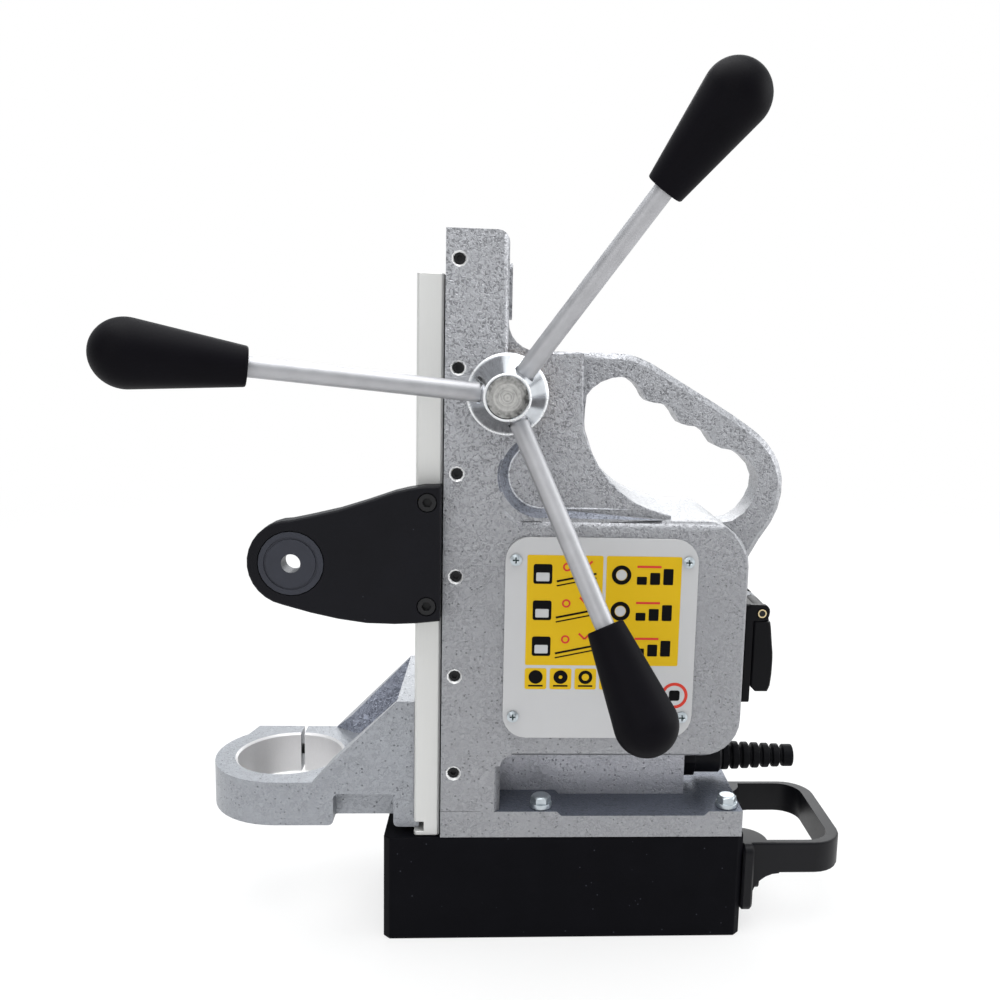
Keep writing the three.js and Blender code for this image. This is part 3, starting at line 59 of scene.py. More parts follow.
def place(x, y, z):
    """A point given in millimetres."""
    return Vector((x, y, z)) * MM


def middle(node):
    """The middle of a node's box."""
    low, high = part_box(node)
    return (Vector(low) + Vector(high)) / 2


def linked(name, data):
    """A new object in the scene."""
    piece = bpy.data.objects.new(name, data)
    bpy.context.scene.collection.objects.link(piece)
    return piece


# The camera stands where the photographer's stood
CAMERA_PLACE = place(-30.62, -465.78, 267.31)
CAMERA_AHEAD = Vector((0.06800546, 0.98653017, -0.14877328))
CAMERA_ROLL = math.radians(1.70)
SENSOR_WIDTH = 36
LENS = 36
SHIFT_X = -0.0734
SHIFT_Y = 0.0025


def add_camera():
    """The photographer's camera, with its tilt, its roll and its shifted lens."""
    ahead = CAMERA_AHEAD.normalized()
    level = ahead.cross(UP).normalized()
    top = level.cross(ahead)
    across = level * math.cos(CAMERA_ROLL) + top * math.sin(CAMERA_ROLL)
    above = top * math.cos(CAMERA_ROLL) - level * math.sin(CAMERA_ROLL)
    lens = bpy.data.cameras.new("camera")
    lens.sensor_width = SENSOR_WIDTH
    lens.lens = LENS
    lens.shift_x = SHIFT_X
    lens.shift_y = SHIFT_Y
    camera = linked("camera", lens)
    turn = Matrix((across, above, -ahead)).transposed().to_4x4()
    camera.matrix_world = Matrix.Translation(CAMERA_PLACE) @ turn
    bpy.context.scene.camera = camera


# Materials
def shade(red, green, blue):
    """A colour from its screen values, 0 to 255, by the sRGB curve."""
    return tuple(((c / 255 + 0.055) / 1.055) ** 2.4 if c > 10 else c / 3294.6 for c in (red, green, blue))


def toned(tone, share, most=1.0):
    """A darker or lighter tone, none of its channels above most."""
    return tuple(min(c * share, most) for c in tone)


class Value:
    """A node's output that takes part in sums, and adds its Math nodes as it does."""

    def __init__(self, nodes, socket):
        self.nodes = nodes
        self.socket = socket

    def sum(self, operation, *others):
        """Adds a Math node that works on this value and the others."""
        return self.nodes.add("ShaderNodeMath", {"operation": operation}, dict(enumerate((self, *others))))

    def __add__(self, other):
        return self.sum("ADD", other)

    def __sub__(self, other):
        return self.sum("SUBTRACT", other)

    def __rsub__(self, other):
        return self.nodes.add("ShaderNodeMath", {"operation": "SUBTRACT"}, {0: other, 1: self})

    def __mul__(self, other):
        return self.sum("MULTIPLY", other)

    __radd__ = __add__

    def between(self, low, high):
        """0 below low, 1 above high, and smooth in between; turned round where low is the larger."""
        settings = {"interpolation_type": "SMOOTHSTEP"}
        inputs = {"Value": self, "From Min": min(low, high), "From Max": max(low, high)}
        rise = self.nodes.add("ShaderNodeMapRange", settings, inputs)
        return rise if low < high else 1 - rise


class Nodes:
    """The node tree of a material or of the world."""

    def __init__(self, owner):
        owner.use_nodes = True
        self.tree = owner.node_tree

    def link(self, value, socket):
        """Gives a socket its value: another node's output, a colour or a number."""
        if isinstance(value, Value):
            self.tree.links.new(value.socket, socket)
        elif socket.type == "RGBA":
            socket.default_value = (*value, 1)
        else:
            socket.default_value = value

    def add(self, kind, settings, inputs, output=0):
        """Adds any node with its settings and inputs, and gives back one of its outputs."""
        node = self.tree.nodes.new(kind)
        for key, setting in settings.items():
            setattr(node, key, setting)
        for key, value in inputs.items():
            self.link(value, node.inputs[key])
        return Value(self, node.outputs[output])

    def vector(self, operation, *inputs, output=0):
        """Adds a Vector Math node."""
        return self.add("ShaderNodeVectorMath", {"operation": operation}, dict(enumerate(inputs)), output)


class Finish(Nodes):
    """A material, with the textures that the finishes are made of."""

    def __init__(self, name):
        self.material = bpy.data.materials.new(name)
        super().__init__(self.material)
        self.shader = self.tree.nodes["Principled BSDF"]
        self.spot = self.add("ShaderNodeTexCoord", {}, {}, "Object")

    def set(self, **values):
        """Sets the shader's own sockets, such as Base_Color."""
        for key, value in values.items():
            self.link(value, self.shader.inputs[key.replace("_", " ")])

    def stretched(self, scale):
        """The place on the piece, drawn out or pressed together along each axis."""
        return self.vector("MULTIPLY", self.spot, scale)

    def noise(self, size, detail=2, distortion=0.0, along=(1, 1, 1)):
        """Noise whose grains are about size metres, drawn out along an axis where along is under 1."""
        spot = self.stretched(tuple(share / size for share in along))
        inputs = {"Vector": spot, "Scale": 1.0, "Detail": detail, "Distortion": distortion}
        return self.add("ShaderNodeTexNoise", {}, inputs, "Fac")

    def cells(self, size, output="Distance"):
        """Irregular cells about size metres wide: the distance to each one's middle, or its chance colour."""
        spot = self.stretched((1 / size,) * 3)
        return self.add("ShaderNodeTexVoronoi", {}, {"Vector": spot, "Scale": 1.0}, output)

    def axis(self, name):
        """One coordinate of the place on the piece, in metres."""
        return self.add("ShaderNodeSeparateXYZ", {}, {0: self.spot}, name)

    def from_axis(self, centre):
        """The way out from an axis along Y through centre, and the distance from it."""
        flat = self.vector("MULTIPLY", self.vector("SUBTRACT", self.spot, tuple(centre)), (1, 0, 1))
        return flat, self.vector("LENGTH", flat, output="Value")

    def rings(self, radius, pitch, other, detail):
        """A lathe's fine rings, which change along with another value."""
        across = self.add("ShaderNodeCombineXYZ", {}, {0: radius * (1 / pitch), 1: other})
        return self.add("ShaderNodeTexNoise", {}, {"Vector": across, "Scale": 1.0, "Detail": detail}, "Fac")

    def mix(self, share, first, second):
        """The first colour where share is 0, the second where it is 1."""
        inputs = {0: share, 6: first, 7: second}
        return self.add("ShaderNodeMix", {"data_type": "RGBA"}, inputs, 2)

    def bump(self, height, depth, strength=1.0):
        """The normal of a relief depth metres deep."""
        return self.add("ShaderNodeBump", {}, {"Height": height, "Distance": depth, "Strength": strength})


# The hammertone paint: the sizes of its marks, how much each kind shows, and the heights between which
# the dents grow dense
SPECK_CELL = 2 * MM
WORM_SIZE = 1.6 * MM
PATCH_SIZE = 9 * MM
CLOUD_SIZE = 22 * MM
GRAIN_SIZE = 0.5 * MM
SPECK_SHARE = 0.55
DENT_SHARE = 0.62
RIDGE_SHARE = 0.3
SEAM_SHARE = 0.6
LOW_SHARE = 0.74
RELIEF = 0.45 * MM
DENSE_BETWEEN = (150 * MM, 240 * MM)
SEAM_HEIGHT = 61.6 * MM
SEAM_HALF = 0.3 * MM
SEAM_REACH = (-38 * MM, -40 * MM)


def casting_paint(name, tone, calm, seam=False):
    """Silver hammertone paint: dark specks all over, and worm-like dents and ridges, denser higher up.

    The dents keep the share calm at the foot. The seam is the dark line where column and foot meet."""
    paint = Finish(name)
    cell = paint.cells(SPECK_CELL)
    chance = paint.add("ShaderNodeSeparateXYZ", {}, {0: paint.cells(SPECK_CELL, "Color")}, "X")
    specks = cell.between(0.25, 0.1) * chance.between(0.4, 0.46)
    worm = paint.noise(WORM_SIZE, detail=1, distortion=1.3)
    patch = paint.noise(PATCH_SIZE, 1).between(0.3, 0.6) * 0.5 + 0.5
    rise = paint.axis("Z").between(*DENSE_BETWEEN)
    marked = (rise * (1 - calm) + calm) * patch
    dents = worm.between(0.56, 0.61) * marked
    ridges = worm.between(0.46, 0.37) * marked
    cloud = paint.noise(CLOUD_SIZE, 3)
    grain = paint.noise(GRAIN_SIZE, 1)
    dark, light = toned(tone, 0.34), toned(tone, 1.6, 0.95)
    colour = paint.mix(rise + cloud * 0.3 - 0.1, toned(tone, LOW_SHARE), tone)
    colour = paint.mix(ridges * RIDGE_SHARE, colour, light)
    colour = paint.mix(dents * DENT_SHARE, colour, dark)
    colour = paint.mix(specks * SPECK_SHARE, colour, dark)
    height = ridges * 0.6 - dents - specks + grain * 0.1
    if seam:
        below = paint.axis("Z").between(SEAM_HEIGHT - SEAM_HALF, SEAM_HEIGHT)
        above = paint.axis("Z").between(SEAM_HEIGHT + SEAM_HALF, SEAM_HEIGHT)
        line = below * above * paint.axis("X").between(*SEAM_REACH)
        colour = paint.mix(line * SEAM_SHARE, colour, dark)
        height = height - line
    paint.set(Base_Color=colour, Metallic=0.55)
    paint.set(Roughness=0.28 + cloud * 0.08 + grain * 0.08 + specks * 0.15)
    paint.set(Normal=paint.bump(height, RELIEF, 0.9))
    return paint.material


def brushed_metal(name, tone, roughness, along, grain, metallic=0.85, streak=0.14):
    """Metal with fine lines drawn out along the axis whose share in along is under 1."""
    metal = Finish(name)
    lines = metal.noise(grain, along=along)
    broad = metal.noise(9 * MM, along=along)
    dark = toned(tone, 1 - 2 * streak)
    metal.set(Base_Color=metal.mix(lines * 0.6 + broad * 0.4, dark, tone), Metallic=metallic)
    metal.set(Roughness=roughness + lines * 0.12 + broad * 0.06)
    metal.set(Normal=metal.bump(lines, 0.02 * MM, 0.5))
    return metal.material


# Each sector of the hub's painted reflections, dark or light: its angle from +X towards +Z and its half
# width, in degrees, and its strength
HUB_PAINTED_DARK = ((128, 27, 0.6), (228, 24, 0.95), (258, 24, 1), (-12, 7, 0.9))
HUB_PAINTED_LIGHT = ((87, 11, 1), (40, 8, 1), (14, 11, 1), (-34, 12, 1))
HUB_CENTRE = middle("feed_hub")
SECTOR_FADE = 5


def turned_cone(name, tone, roughness, pitch, marks):
    """The hub's side: a lathe's rings, stains, and dark and light sectors of painted reflection."""
    metal = Finish(name)
    flat, radius = metal.from_axis(HUB_CENTRE)
    outward = metal.vector("NORMALIZE", flat)
    rings = metal.rings(radius, pitch, metal.axis("Y") * (0.6 / pitch), 2)
    stain = metal.noise(4 * MM, detail=3, distortion=0.5).between(0.3, 0.7)

    def sector(angle, half_width, strength):
        way = (math.cos(math.radians(angle)), 0, math.sin(math.radians(angle)))
        turn = metal.vector("DOT_PRODUCT", outward, way, output="Value")
        ends = (math.cos(math.radians(half_width + fade)) for fade in (SECTOR_FADE, -SECTOR_FADE))
        return turn.between(*ends) * strength

    # Painted reflection: the dark sectors darken the colour, and the light ones brighten it and make it less
    # metallic
    shadow, shine = (sum(sector(*each) for each in sectors) for sectors in (HUB_PAINTED_DARK, HUB_PAINTED_LIGHT))
    colour = metal.mix(rings * marks + stain * marks, tone, toned(tone, 0.35))
    colour = metal.mix(shadow, colour, toned(tone, 0.16))
    colour = metal.mix(shine, colour, toned(tone, 1.15, 0.9))
    metal.set(Base_Color=colour, Metallic=1 - shine * 0.75)
    metal.set(Roughness=roughness + rings * 0.12 + stain * 0.08)
    metal.set(Normal=metal.bump(rings, 0.03 * MM, 0.5))
    return metal.material


FACE_PITCH = 0.7 * MM
FACE_RIM = (5.5 * MM, 8.4 * MM)
# The painted shadow on the nose face: the way towards its dark side, and the reach over which it darkens
SHADOW_CRESCENT_WAY = (0.94, 0, -0.34)
SHADOW_CRESCENT_EDGES = (5 * MM, 11.5 * MM)


def turned_face(name, tone):
    """The hub's flat nose: fine turned rings, stains, and a painted shadow crescent at its rear side."""
    metal = Finish(name)
    flat, radius = metal.from_axis(HUB_CENTRE)
    rings = metal.rings(radius, FACE_PITCH, metal.noise(9 * MM, 1) * 3, 3)
    rear = metal.vector("DOT_PRODUCT", flat, SHADOW_CRESCENT_WAY, output="Value")
    crescent = (rear + radius * 0.5).between(*SHADOW_CRESCENT_EDGES)
    stain = metal.noise(1.6 * MM, detail=3, distortion=0.4).between(0.35, 0.7)
    rim = radius.between(*FACE_RIM)
    # The rings and stains are the face's own marks; the dark rear part is painted shadow
    marks_and_shadow = rings.between(0.35, 0.65) * 0.35 + stain * (rim * 0.3 + 0.2) + crescent * 0.45
    metal.set(Base_Color=metal.mix(marks_and_shadow, tone, toned(tone, 0.12)), Metallic=0.5)
    metal.set(Roughness=0.34 + rings * 0.12, Normal=metal.bump(rings, 0.05 * MM, 0.6))
    return metal.material


def plain_metal(name, tone, roughness, metallic=0.9, grain=1.2 * MM, depth=0.02 * MM):
    """Plated, blackened or cast metal with a faint cloud and a fine grain."""
    metal = Finish(name)
    cloud = metal.noise(6 * MM, 3)
    fine = metal.noise(grain * 0.4, 2)
    metal.set(Base_Color=metal.mix(cloud, toned(tone, 0.8), toned(tone, 1.12)))
    metal.set(Metallic=metallic, Roughness=roughness + cloud * 0.1 + fine * 0.06)
    metal.set(Normal=metal.bump(fine, depth, 0.4))
    return metal.material


def black_coat(name, tone, roughness, grain, depth, speck=0.0, sheen=0.28):
    """Satin black paint or moulded plastic: a fine leathery grain, a faint cloud and stray light specks."""
    coat = Finish(name)
    cloud = coat.noise(14 * MM, 3)
    skin = coat.noise(grain, detail=3, distortion=0.2)
    stray = coat.cells(5.5 * MM).between(0.075, 0.03) * speck
    colour = coat.mix(cloud, toned(tone, 0.75), toned(tone, 1.3))
    coat.set(Base_Color=coat.mix(stray, colour, shade(120, 124, 136)))
    coat.set(Roughness=roughness + skin * 0.12 + cloud * 0.06, Specular_IOR_Level=sheen)
    coat.set(Normal=coat.bump(skin, depth, 0.6))
    return coat.material


def sheet_paint(name, tone, roughness=0.4, sheen=0.2):
    """Smooth paint or print on sheet, with a faint orange-peel ripple."""
    paint = Finish(name)
    ripple = paint.noise(1.4 * MM, 2)
    cloud = paint.noise(30 * MM, 2)
    paint.set(Base_Color=paint.mix(cloud, toned(tone, 0.93), tone))
    paint.set(Roughness=roughness + ripple * 0.08, Specular_IOR_Level=sheen)
    paint.set(Normal=paint.bump(ripple, 0.02 * MM, 0.5))
    return paint.material


WIRE_PITCH = 0.9 * MM


def wound_copper(name):
    """Enamelled wire lying in layers round the magnet's core."""
    copper = Finish(name)
    turns = copper.axis("Z") * (2 * math.pi / WIRE_PITCH)
    stain = copper.noise(8 * MM, 3)
    copper.set(Base_Color=copper.mix(stain, shade(150, 78, 40), shade(196, 116, 66)), Metallic=0.8)
    copper.set(Roughness=0.3 + stain * 0.15, Normal=copper.bump(turns.sum("SINE"), 0.2 * MM))
    return copper.material


# The finishes: their names and tones, then the hammertone paints' share of dents at the foot, or the
# roughness of all others with their own sizes and shares after it
casting = casting_paint("hammertone_paint", shade(169, 170, 174), 0.35, seam=True)
bracket_paint = casting_paint("bracket_hammertone_paint", shade(173, 176, 182), 0.3)
# Painted shade: a bluer copy of the hammertone, its dents dense at all heights, for the bracket pocket's
# sides
pocket_shade_paint = casting_paint("pocket_painted_shade_hammertone", shade(172, 177, 192), 1)
# Painted shade: a darker, bluer copy of the hammertone for the recess floor under the housing
shelf_shade_paint = casting_paint("shelf_painted_shade_hammertone", shade(118, 124, 138), 0.5)
# Painted highlight: a lighter copy of the hammertone for the fine crest line
crest_highlight_paint = casting_paint("crest_painted_highlight_hammertone", shade(214, 216, 222), 0.2)
# Painted light: a lighter copy of the hammertone for the web, which lies in the housing's shadow
web_lit_paint = casting_paint("web_painted_light_hammertone", shade(200, 201, 209), 0.35)
# Painted shade: a darker copy of the hammertone for the leaning faces of the round slope
slope_shade_paint = casting_paint("slope_painted_shade_hammertone", shade(122, 126, 136), 0.2)
machined = brushed_metal("machined_aluminium", shade(216, 215, 216), 0.34, (1, 1, 0.25), 0.5 * MM, 0.45, 0.08)
bright_edge = plain_metal("bright_countersink", shade(240, 240, 240), 0.3, 0.3)
slide_metal = brushed_metal(
    "brushed_slide_aluminium", shade(212, 212, 210), 0.38, (1, 1, 0.04), 0.5 * MM, 0.45, 0.05)
rod_metal = plain_metal("satin_rod_steel", shade(178, 178, 181), 0.42, 0.85, 0.8 * MM, 0.004 * MM)
hub_metal = turned_cone("polished_hub_steel", shade(214, 218, 222), 0.07, 0.5 * MM, 0.06)
nose_metal = turned_face("turned_nose_face", shade(190, 189, 186))
ring_metal = plain_metal("hub_nose_ring", shade(235, 236, 238), 0.2, 0.4)
zinc = plain_metal("bright_zinc", shade(190, 198, 203), 0.24)
black_screw = plain_metal("blackened_screw_steel", shade(14, 14, 17), 0.45, 0.3)
ground_steel = brushed_metal("ground_steel", shade(176, 178, 182), 0.3, (1, 0.1, 1), 0.4 * MM)
spring_steel = plain_metal("spring_steel", shade(150, 152, 156), 0.3)
bronze = plain_metal("bearing_bronze", shade(168, 124, 66), 0.34)
# Painted shadow: darker zinc for the faces inside each screw's cross recess
cross_shadow = plain_metal("cross_recess_painted_shadow", shade(70, 84, 84), 0.4)
# Painted shadow: near-black for the slide plate's rear face, where the gap to the column lies in shade
slide_gap_shadow = plain_metal("slide_gap_painted_shadow", shade(10, 10, 11), 0.5, 0)
brass_ring = plain_metal("brass_ring_metal", shade(226, 206, 160), 0.3, 0.5)
magnet_paint = black_coat("satin_magnet_paint", shade(11, 11, 15), 0.4, 0.9 * MM, 0.05 * MM, 0.2, 0.04)
arm_paint = black_coat("satin_arm_paint", shade(15, 15, 20), 0.42, 0.7 * MM, 0.05 * MM, 0.12, 0.12)
bush_steel = plain_metal("blackened_bush_steel", shade(46, 48, 57), 0.36, 0.45)
grip_plastic = black_coat("lever_grip_plastic", shade(12, 11, 15), 0.42, 0.6 * MM, 0.02 * MM, 0, 0.045)
moulded = black_coat("moulded_black_plastic", shade(14, 14, 18), 0.36, 0.5 * MM, 0.03 * MM, 0, 0.15)
grip_bar_plastic = black_coat("rear_grip_plastic", shade(13, 13, 17), 0.3, 0.5 * MM, 0.02 * MM, 0, 0.2)
lid_plastic = black_coat("socket_plastic", shade(13, 13, 16), 0.3, 0.5 * MM, 0.02 * MM, 0, 0.1)
rubber = black_coat("boot_rubber", shade(12, 12, 15), 0.42, 0.45 * MM, 0.03 * MM, 0, 0.08)
resin = black_coat("potting_resin_brown", shade(78, 60, 42), 0.45, 1.6 * MM, 0.1 * MM)
plate_paint = sheet_paint("plate_grey", shade(189, 189, 190))
yellow_print = sheet_paint("label_yellow", shade(210, 172, 24), 0.4, 0.12)
black_print = sheet_paint("label_black", shade(12, 12, 13), 0.45, 0.06)
red_print = sheet_paint("label_red", shade(200, 62, 50), 0.4, 0.1)
grey_print = sheet_paint("label_grey", shade(186, 187, 188))
rocker_red = sheet_paint("rocker_red_plastic", shade(168, 30, 28), 0.22, 0.35)
copper_wire = wound_copper("enamelled_copper")


# Mesh helpers
MERGE_WITHIN = 0.004 * MM
SLIVER_WIDTH = 0.12 * MM
FLAT_WITHIN = 0.6
SPIN_MERGE = 0.002 * MM


def body_of(node):
    """The body that a node rides on."""
    bodies = frame["record"]["behaviour"]["bodies"]
    return next(body for body, nodes in bodies.items() if node in nodes)


def object_of(name, mesh):
    """A new object from a bmesh, which is freed."""
    data = bpy.data.meshes.new(name)
    mesh.to_mesh(data)
    mesh.free()
    return linked(name, data)


def finished(name, mesh, finishes, body, nodes=(), smooth=34):
    """Makes the piece from its bmesh, with its materials, and lets it ride on its body.

    Edges that turn by more than smooth degrees stay sharp."""
    piece = object_of(name, mesh)
    piece.data.shade_smooth()
    piece.data.set_sharp_from_angle(angle=math.radians(smooth))
    for material in finishes:
        piece.data.materials.append(material)
    flat = piece.modifiers.new("flat_faces", "WEIGHTED_NORMAL")
    flat.keep_sharp = True
    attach(piece, body)
    if nodes:
        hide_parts(*nodes)


def merged(node):
    """A copy of a node's mesh with its doubles merged, its slivers gone and its flat faces whole."""
    mesh = bmesh.new()
    mesh.from_mesh(frame["nodes"][node].data)
    bmesh.ops.remove_doubles(mesh, verts=mesh.verts, dist=MERGE_WITHIN)
    bmesh.ops.dissolve_degenerate(mesh, edges=mesh.edges, dist=SLIVER_WIDTH)
    bmesh.ops.dissolve_limit(
        mesh, angle_limit=math.radians(FLAT_WITHIN), verts=mesh.verts, edges=mesh.edges,
        delimit={"NORMAL"})
    return mesh


def round_edges(mesh, width, angle=35, segments=2, where=None):
    """Rounds the edges that turn by more than angle degrees, or those of them that where names."""
    edges = [edge for edge in mesh.edges
             if len(edge.link_faces) == 2 and edge.calc_face_angle(0) > math.radians(angle)
             and (where is None or where(edge))]
    bmesh.ops.bevel(
        mesh, geom=edges, offset=width, offset_type="OFFSET", segments=segments, profile=0.5,
        affect="EDGES", material=-1, clamp_overlap=True, loop_slide=True)


def dress(node, finishes, width=0.0, angle=35, paint=None, smooth=34, first=None):
    """A merged copy with rounded edges takes the node's place.

    first changes its mesh before the rounding, and paint gives each face its finish's number."""
    mesh = merged(node)
    if first:
        mesh = first(mesh)
    if width:
        round_edges(mesh, width, angle)
    if paint:
        for face in mesh.faces:
            face.material_index = paint(face)
    finished(f"{node}_surface", mesh, finishes, body_of(node), [node], smooth)


def turn_to(direction, start):
    """The transform that stands the Z axis along direction, at start."""
    return Matrix.Translation(start) @ UP.rotation_difference(direction).to_matrix().to_4x4()


def spun(profile, start, direction, steps=96):
    """A turned solid: the profile holds radius and distance along the axis, in millimetres."""
    mesh = bmesh.new()
    verts = [mesh.verts.new((r * MM, 0, d * MM)) for r, d in profile]
    edges = [mesh.edges.new(pair) for pair in zip(verts, verts[1:])]
    bmesh.ops.spin(
        mesh, geom=verts + edges, cent=(0, 0, 0), axis=(0, 0, 1), angle=2 * math.pi, steps=steps,
        use_merge=True)
    bmesh.ops.remove_doubles(mesh, verts=mesh.verts, dist=SPIN_MERGE)
    bmesh.ops.recalc_face_normals(mesh, faces=mesh.faces)
    bmesh.ops.transform(mesh, matrix=turn_to(direction, start), verts=mesh.verts)
    return mesh


CORNER_SHARE = 0.45


def rounded(points, radius, steps=4):
    """A profile with each inner corner rounded by radius, as far as its neighbours allow."""
    made = [points[0]]
    for before, corner, after in zip(points, points[1:], points[2:]):
        a, b, c = Vector(before), Vector(corner), Vector(after)
        reach = min(radius, (a - b).length * CORNER_SHARE, (c - b).length * CORNER_SHARE)
        start = b + (a - b).normalized() * reach
        end = b + (c - b).normalized() * reach
        for i in range(steps + 1):
            t = i / steps
            made.append(tuple(start * (1 - t) ** 2 + b * 2 * t * (1 - t) + end * t ** 2))
    return made + [points[-1]]


def arc(x, y, radius, start, end, steps):
    """Points on an arc, its angles in degrees."""
    angles = [math.radians(start + (end - start) * i / steps) for i in range(steps + 1)]
    return [(x + radius * math.cos(a), y + radius * math.sin(a)) for a in angles]


def hull(corners):
    """The convex solid round the given points."""
    mesh = bmesh.new()
    bmesh.ops.convex_hull(mesh, input=[mesh.verts.new(corner) for corner in corners])
    bmesh.ops.recalc_face_normals(mesh, faces=mesh.faces)
    return mesh


def brick(low, high):
    """A box between two corners, in millimetres."""
    return hull([place(*corner) for corner in product(*zip(low, high))])


def carved(body, cutter):
    """The first solid without what it shares with the second."""
    whole, tool = (object_of(name, mesh) for name, mesh in (("whole", body), ("tool", cutter)))
    cut = whole.modifiers.new("cut", "BOOLEAN")
    cut.operation = "DIFFERENCE"
    cut.object = tool
    made = bmesh.new()
    made.from_object(whole, bpy.context.evaluated_depsgraph_get())
    for piece in (whole, tool):
        bpy.data.objects.remove(piece)
    return made


def pour(mesh, whole):
    """Adds a mesh to another one, and frees it."""
    data = bpy.data.meshes.new("part")
    mesh.to_mesh(data)
    mesh.free()
    whole.from_mesh(data)
    bpy.data.meshes.remove(data)


def joined(meshes):
    """One mesh that holds all the given ones."""
    whole = bmesh.new()
    for mesh in meshes:
        pour(mesh, whole)
    return whole


def numbered(name, count):
    """The names of the nodes that are numbered from 1."""
    return [f"{name}_{i}" for i in range(1, count + 1)]


# From this share of its normal on, a face counts as square to an axis or as leaning towards it
SQUARE = 0.9
LEANING = 0.3

# The cast frame's round slope, in millimetres: the side is -1 for the near one and 1 for the far one
CASTING_HALF = 38.9
COLUMN_REAR = -30.6
BOX_TOP = 195.5
BOWL_X = -14.9
BOWL_Z = 214
BOWL_RADIUS = 18.3
BOWL_FLOOR = 14.5
BOWL_DEPTH = 4.95
BOWL_LEAD = 2
BOWL_STEPS = 128
SLOPE_REACH = BOWL_RADIUS + 0.5
CARVING_ROOM = 0.15
CARVING_REST = 0.1
STRIP_TOP = {-1: 237, 1: 225}
STRIP_HALF = 5
FILLET_GAP = 0.02
FILLET_UNDER = 1
RAMP_END = 38
RAMP_SKIN = 0.6
RAMP_LIP = 0.2
RAMP_UNDER = 3
CREST_RADIUS = 0.45
CREST_LEAST = 0.01
CREST_SIDES = 8
CREST_ARC = (118, 270, 40)
CREST_RUN = 8
CREST_GROWTH = 6
CREST_END = (0.5, 0.1)

# The cast frame's faces and edges, in metres
COLUMN_TOP = 316.5 * MM
RIM_ROUND = 1.8 * MM
RIM_LOW = 192 * MM
RIM_SIDE = 30 * MM
SHELF_TOP = 66 * MM
SHELF_FRONT = -38 * MM
WEB_SIDE = 33 * MM
WEB_TOP = 100 * MM
COUNTERSINK = 3.6 * MM
SLANT = (0.2, 0.95)
FLAT_SIDE = 0.1
# The plain hammertone, the bare countersinks, painted shade for the recess floor and the round slope, painted
# light for the web
CASTING_FINISHES = [casting, bright_edge, shelf_shade_paint, slope_shade_paint, web_lit_paint]
PLAIN, EDGE, SHELF, SLOPE, WEB = range(5)


def slanted(face):
    """Whether a face leans away from the casting's near or far side."""
    return SLANT[0] < abs(face.normal.y) < SLANT[1]


def on_rim(edge):
    """Whether an edge bounds the near or far face along the casting's top, its rear or its handle."""
    sides = [abs(face.normal.y) for face in edge.link_faces]
    points = [vert.co for vert in edge.verts]
    if min(sides) > FLAT_SIDE or max(sides) < SLANT[1] or min(abs(point.y) for point in points) < RIM_SIDE:
        return False
    rear = min(point.x for point in points) > COLUMN_REAR * MM - RIM_ROUND
    top = min(point.z for point in points) > COLUMN_TOP - RIM_ROUND
    return min(point.z for point in points) > RIM_LOW and (rear or top)


def step_bowl(side, room=0.0, depth=BOWL_DEPTH):
    """The round hollow where the block under the handle meets the column."""
    edge, floor = BOWL_RADIUS + room, BOWL_FLOOR + room
    slope = (edge - floor) / BOWL_DEPTH
    profile = [(0, -BOWL_LEAD), (edge + BOWL_LEAD * slope, -BOWL_LEAD), (edge - slope * depth, depth),
               (0, depth)]
    return spun(profile, place(BOWL_X, side * CASTING_HALF, BOWL_Z), FAR * -side, BOWL_STEPS)


def step_fillet(side):
    """The round slope that leads from the column and the box down to the block."""
    faces = (side * (CASTING_HALF - FILLET_GAP), side * (CASTING_HALF - BOWL_DEPTH - FILLET_UNDER))
    front = COLUMN_REAR - STRIP_HALF
    corner = brick((front, faces[0], BOX_TOP - FILLET_UNDER), (BOWL_X, faces[1], BOWL_Z))
    strip = brick((front, faces[0], BOWL_Z), (COLUMN_REAR + STRIP_HALF, faces[1], STRIP_TOP[side]))
    floor, skin = CASTING_HALF - BOWL_DEPTH, CASTING_HALF - RAMP_SKIN
    top, foot = BOWL_Z - BOWL_FLOOR, BOWL_Z - BOWL_RADIUS
    section = [(floor, top), (skin, foot + RAMP_LIP), (skin, foot - RAMP_UNDER), (floor, foot - RAMP_UNDER)]
    ramp = hull([place(BOWL_X, side * y, z) for y, z in section]
                + [place(RAMP_END, side * y, foot) for y, _ in section])
    return joined([carved(mesh, step_bowl(side)) for mesh in (corner, strip)] + [ramp])


def step_crest(side):
    """The fine raised line where the round slope meets the block, thinner towards both its ends."""
    spot = place(BOWL_X, side * (CASTING_HALF - BOWL_DEPTH), BOWL_Z)
    path = arc(0, 0, BOWL_FLOOR, *CREST_ARC)
    path += [((RAMP_END - BOWL_X) * i / CREST_RUN, -BOWL_FLOOR) for i in range(1, CREST_RUN - 1)]
    turns = [2 * math.pi * i / CREST_SIDES for i in range(CREST_SIDES)]
    last = len(path) - 1
    mesh = bmesh.new()
    rings = []
    for i, (x, z) in enumerate(path):
        before, after = path[max(i - 1, 0)], path[min(i + 1, last)]
        ahead = (Vector(after) - Vector(before)).normalized()
        share = min(1, i / CREST_GROWTH, (last - i) * CREST_END[0] + CREST_END[1])
        size = (CREST_RADIUS * share + CREST_LEAST) * MM
        level = Vector((-ahead.y, 0, ahead.x)) * size
        depth = NEAR * size
        rings.append([mesh.verts.new(spot + place(x, 0, z) + level * math.cos(turn) + depth * math.sin(turn))
                      for turn in turns])
    for one, two in zip(rings, rings[1:]):
        for i in range(CREST_SIDES):
            mesh.faces.new((one[i - 1], one[i], two[i], two[i - 1]))
    mesh.faces.new(rings[0])
    mesh.faces.new(rings[-1])
    bmesh.ops.recalc_face_normals(mesh, faces=mesh.faces)
    return mesh


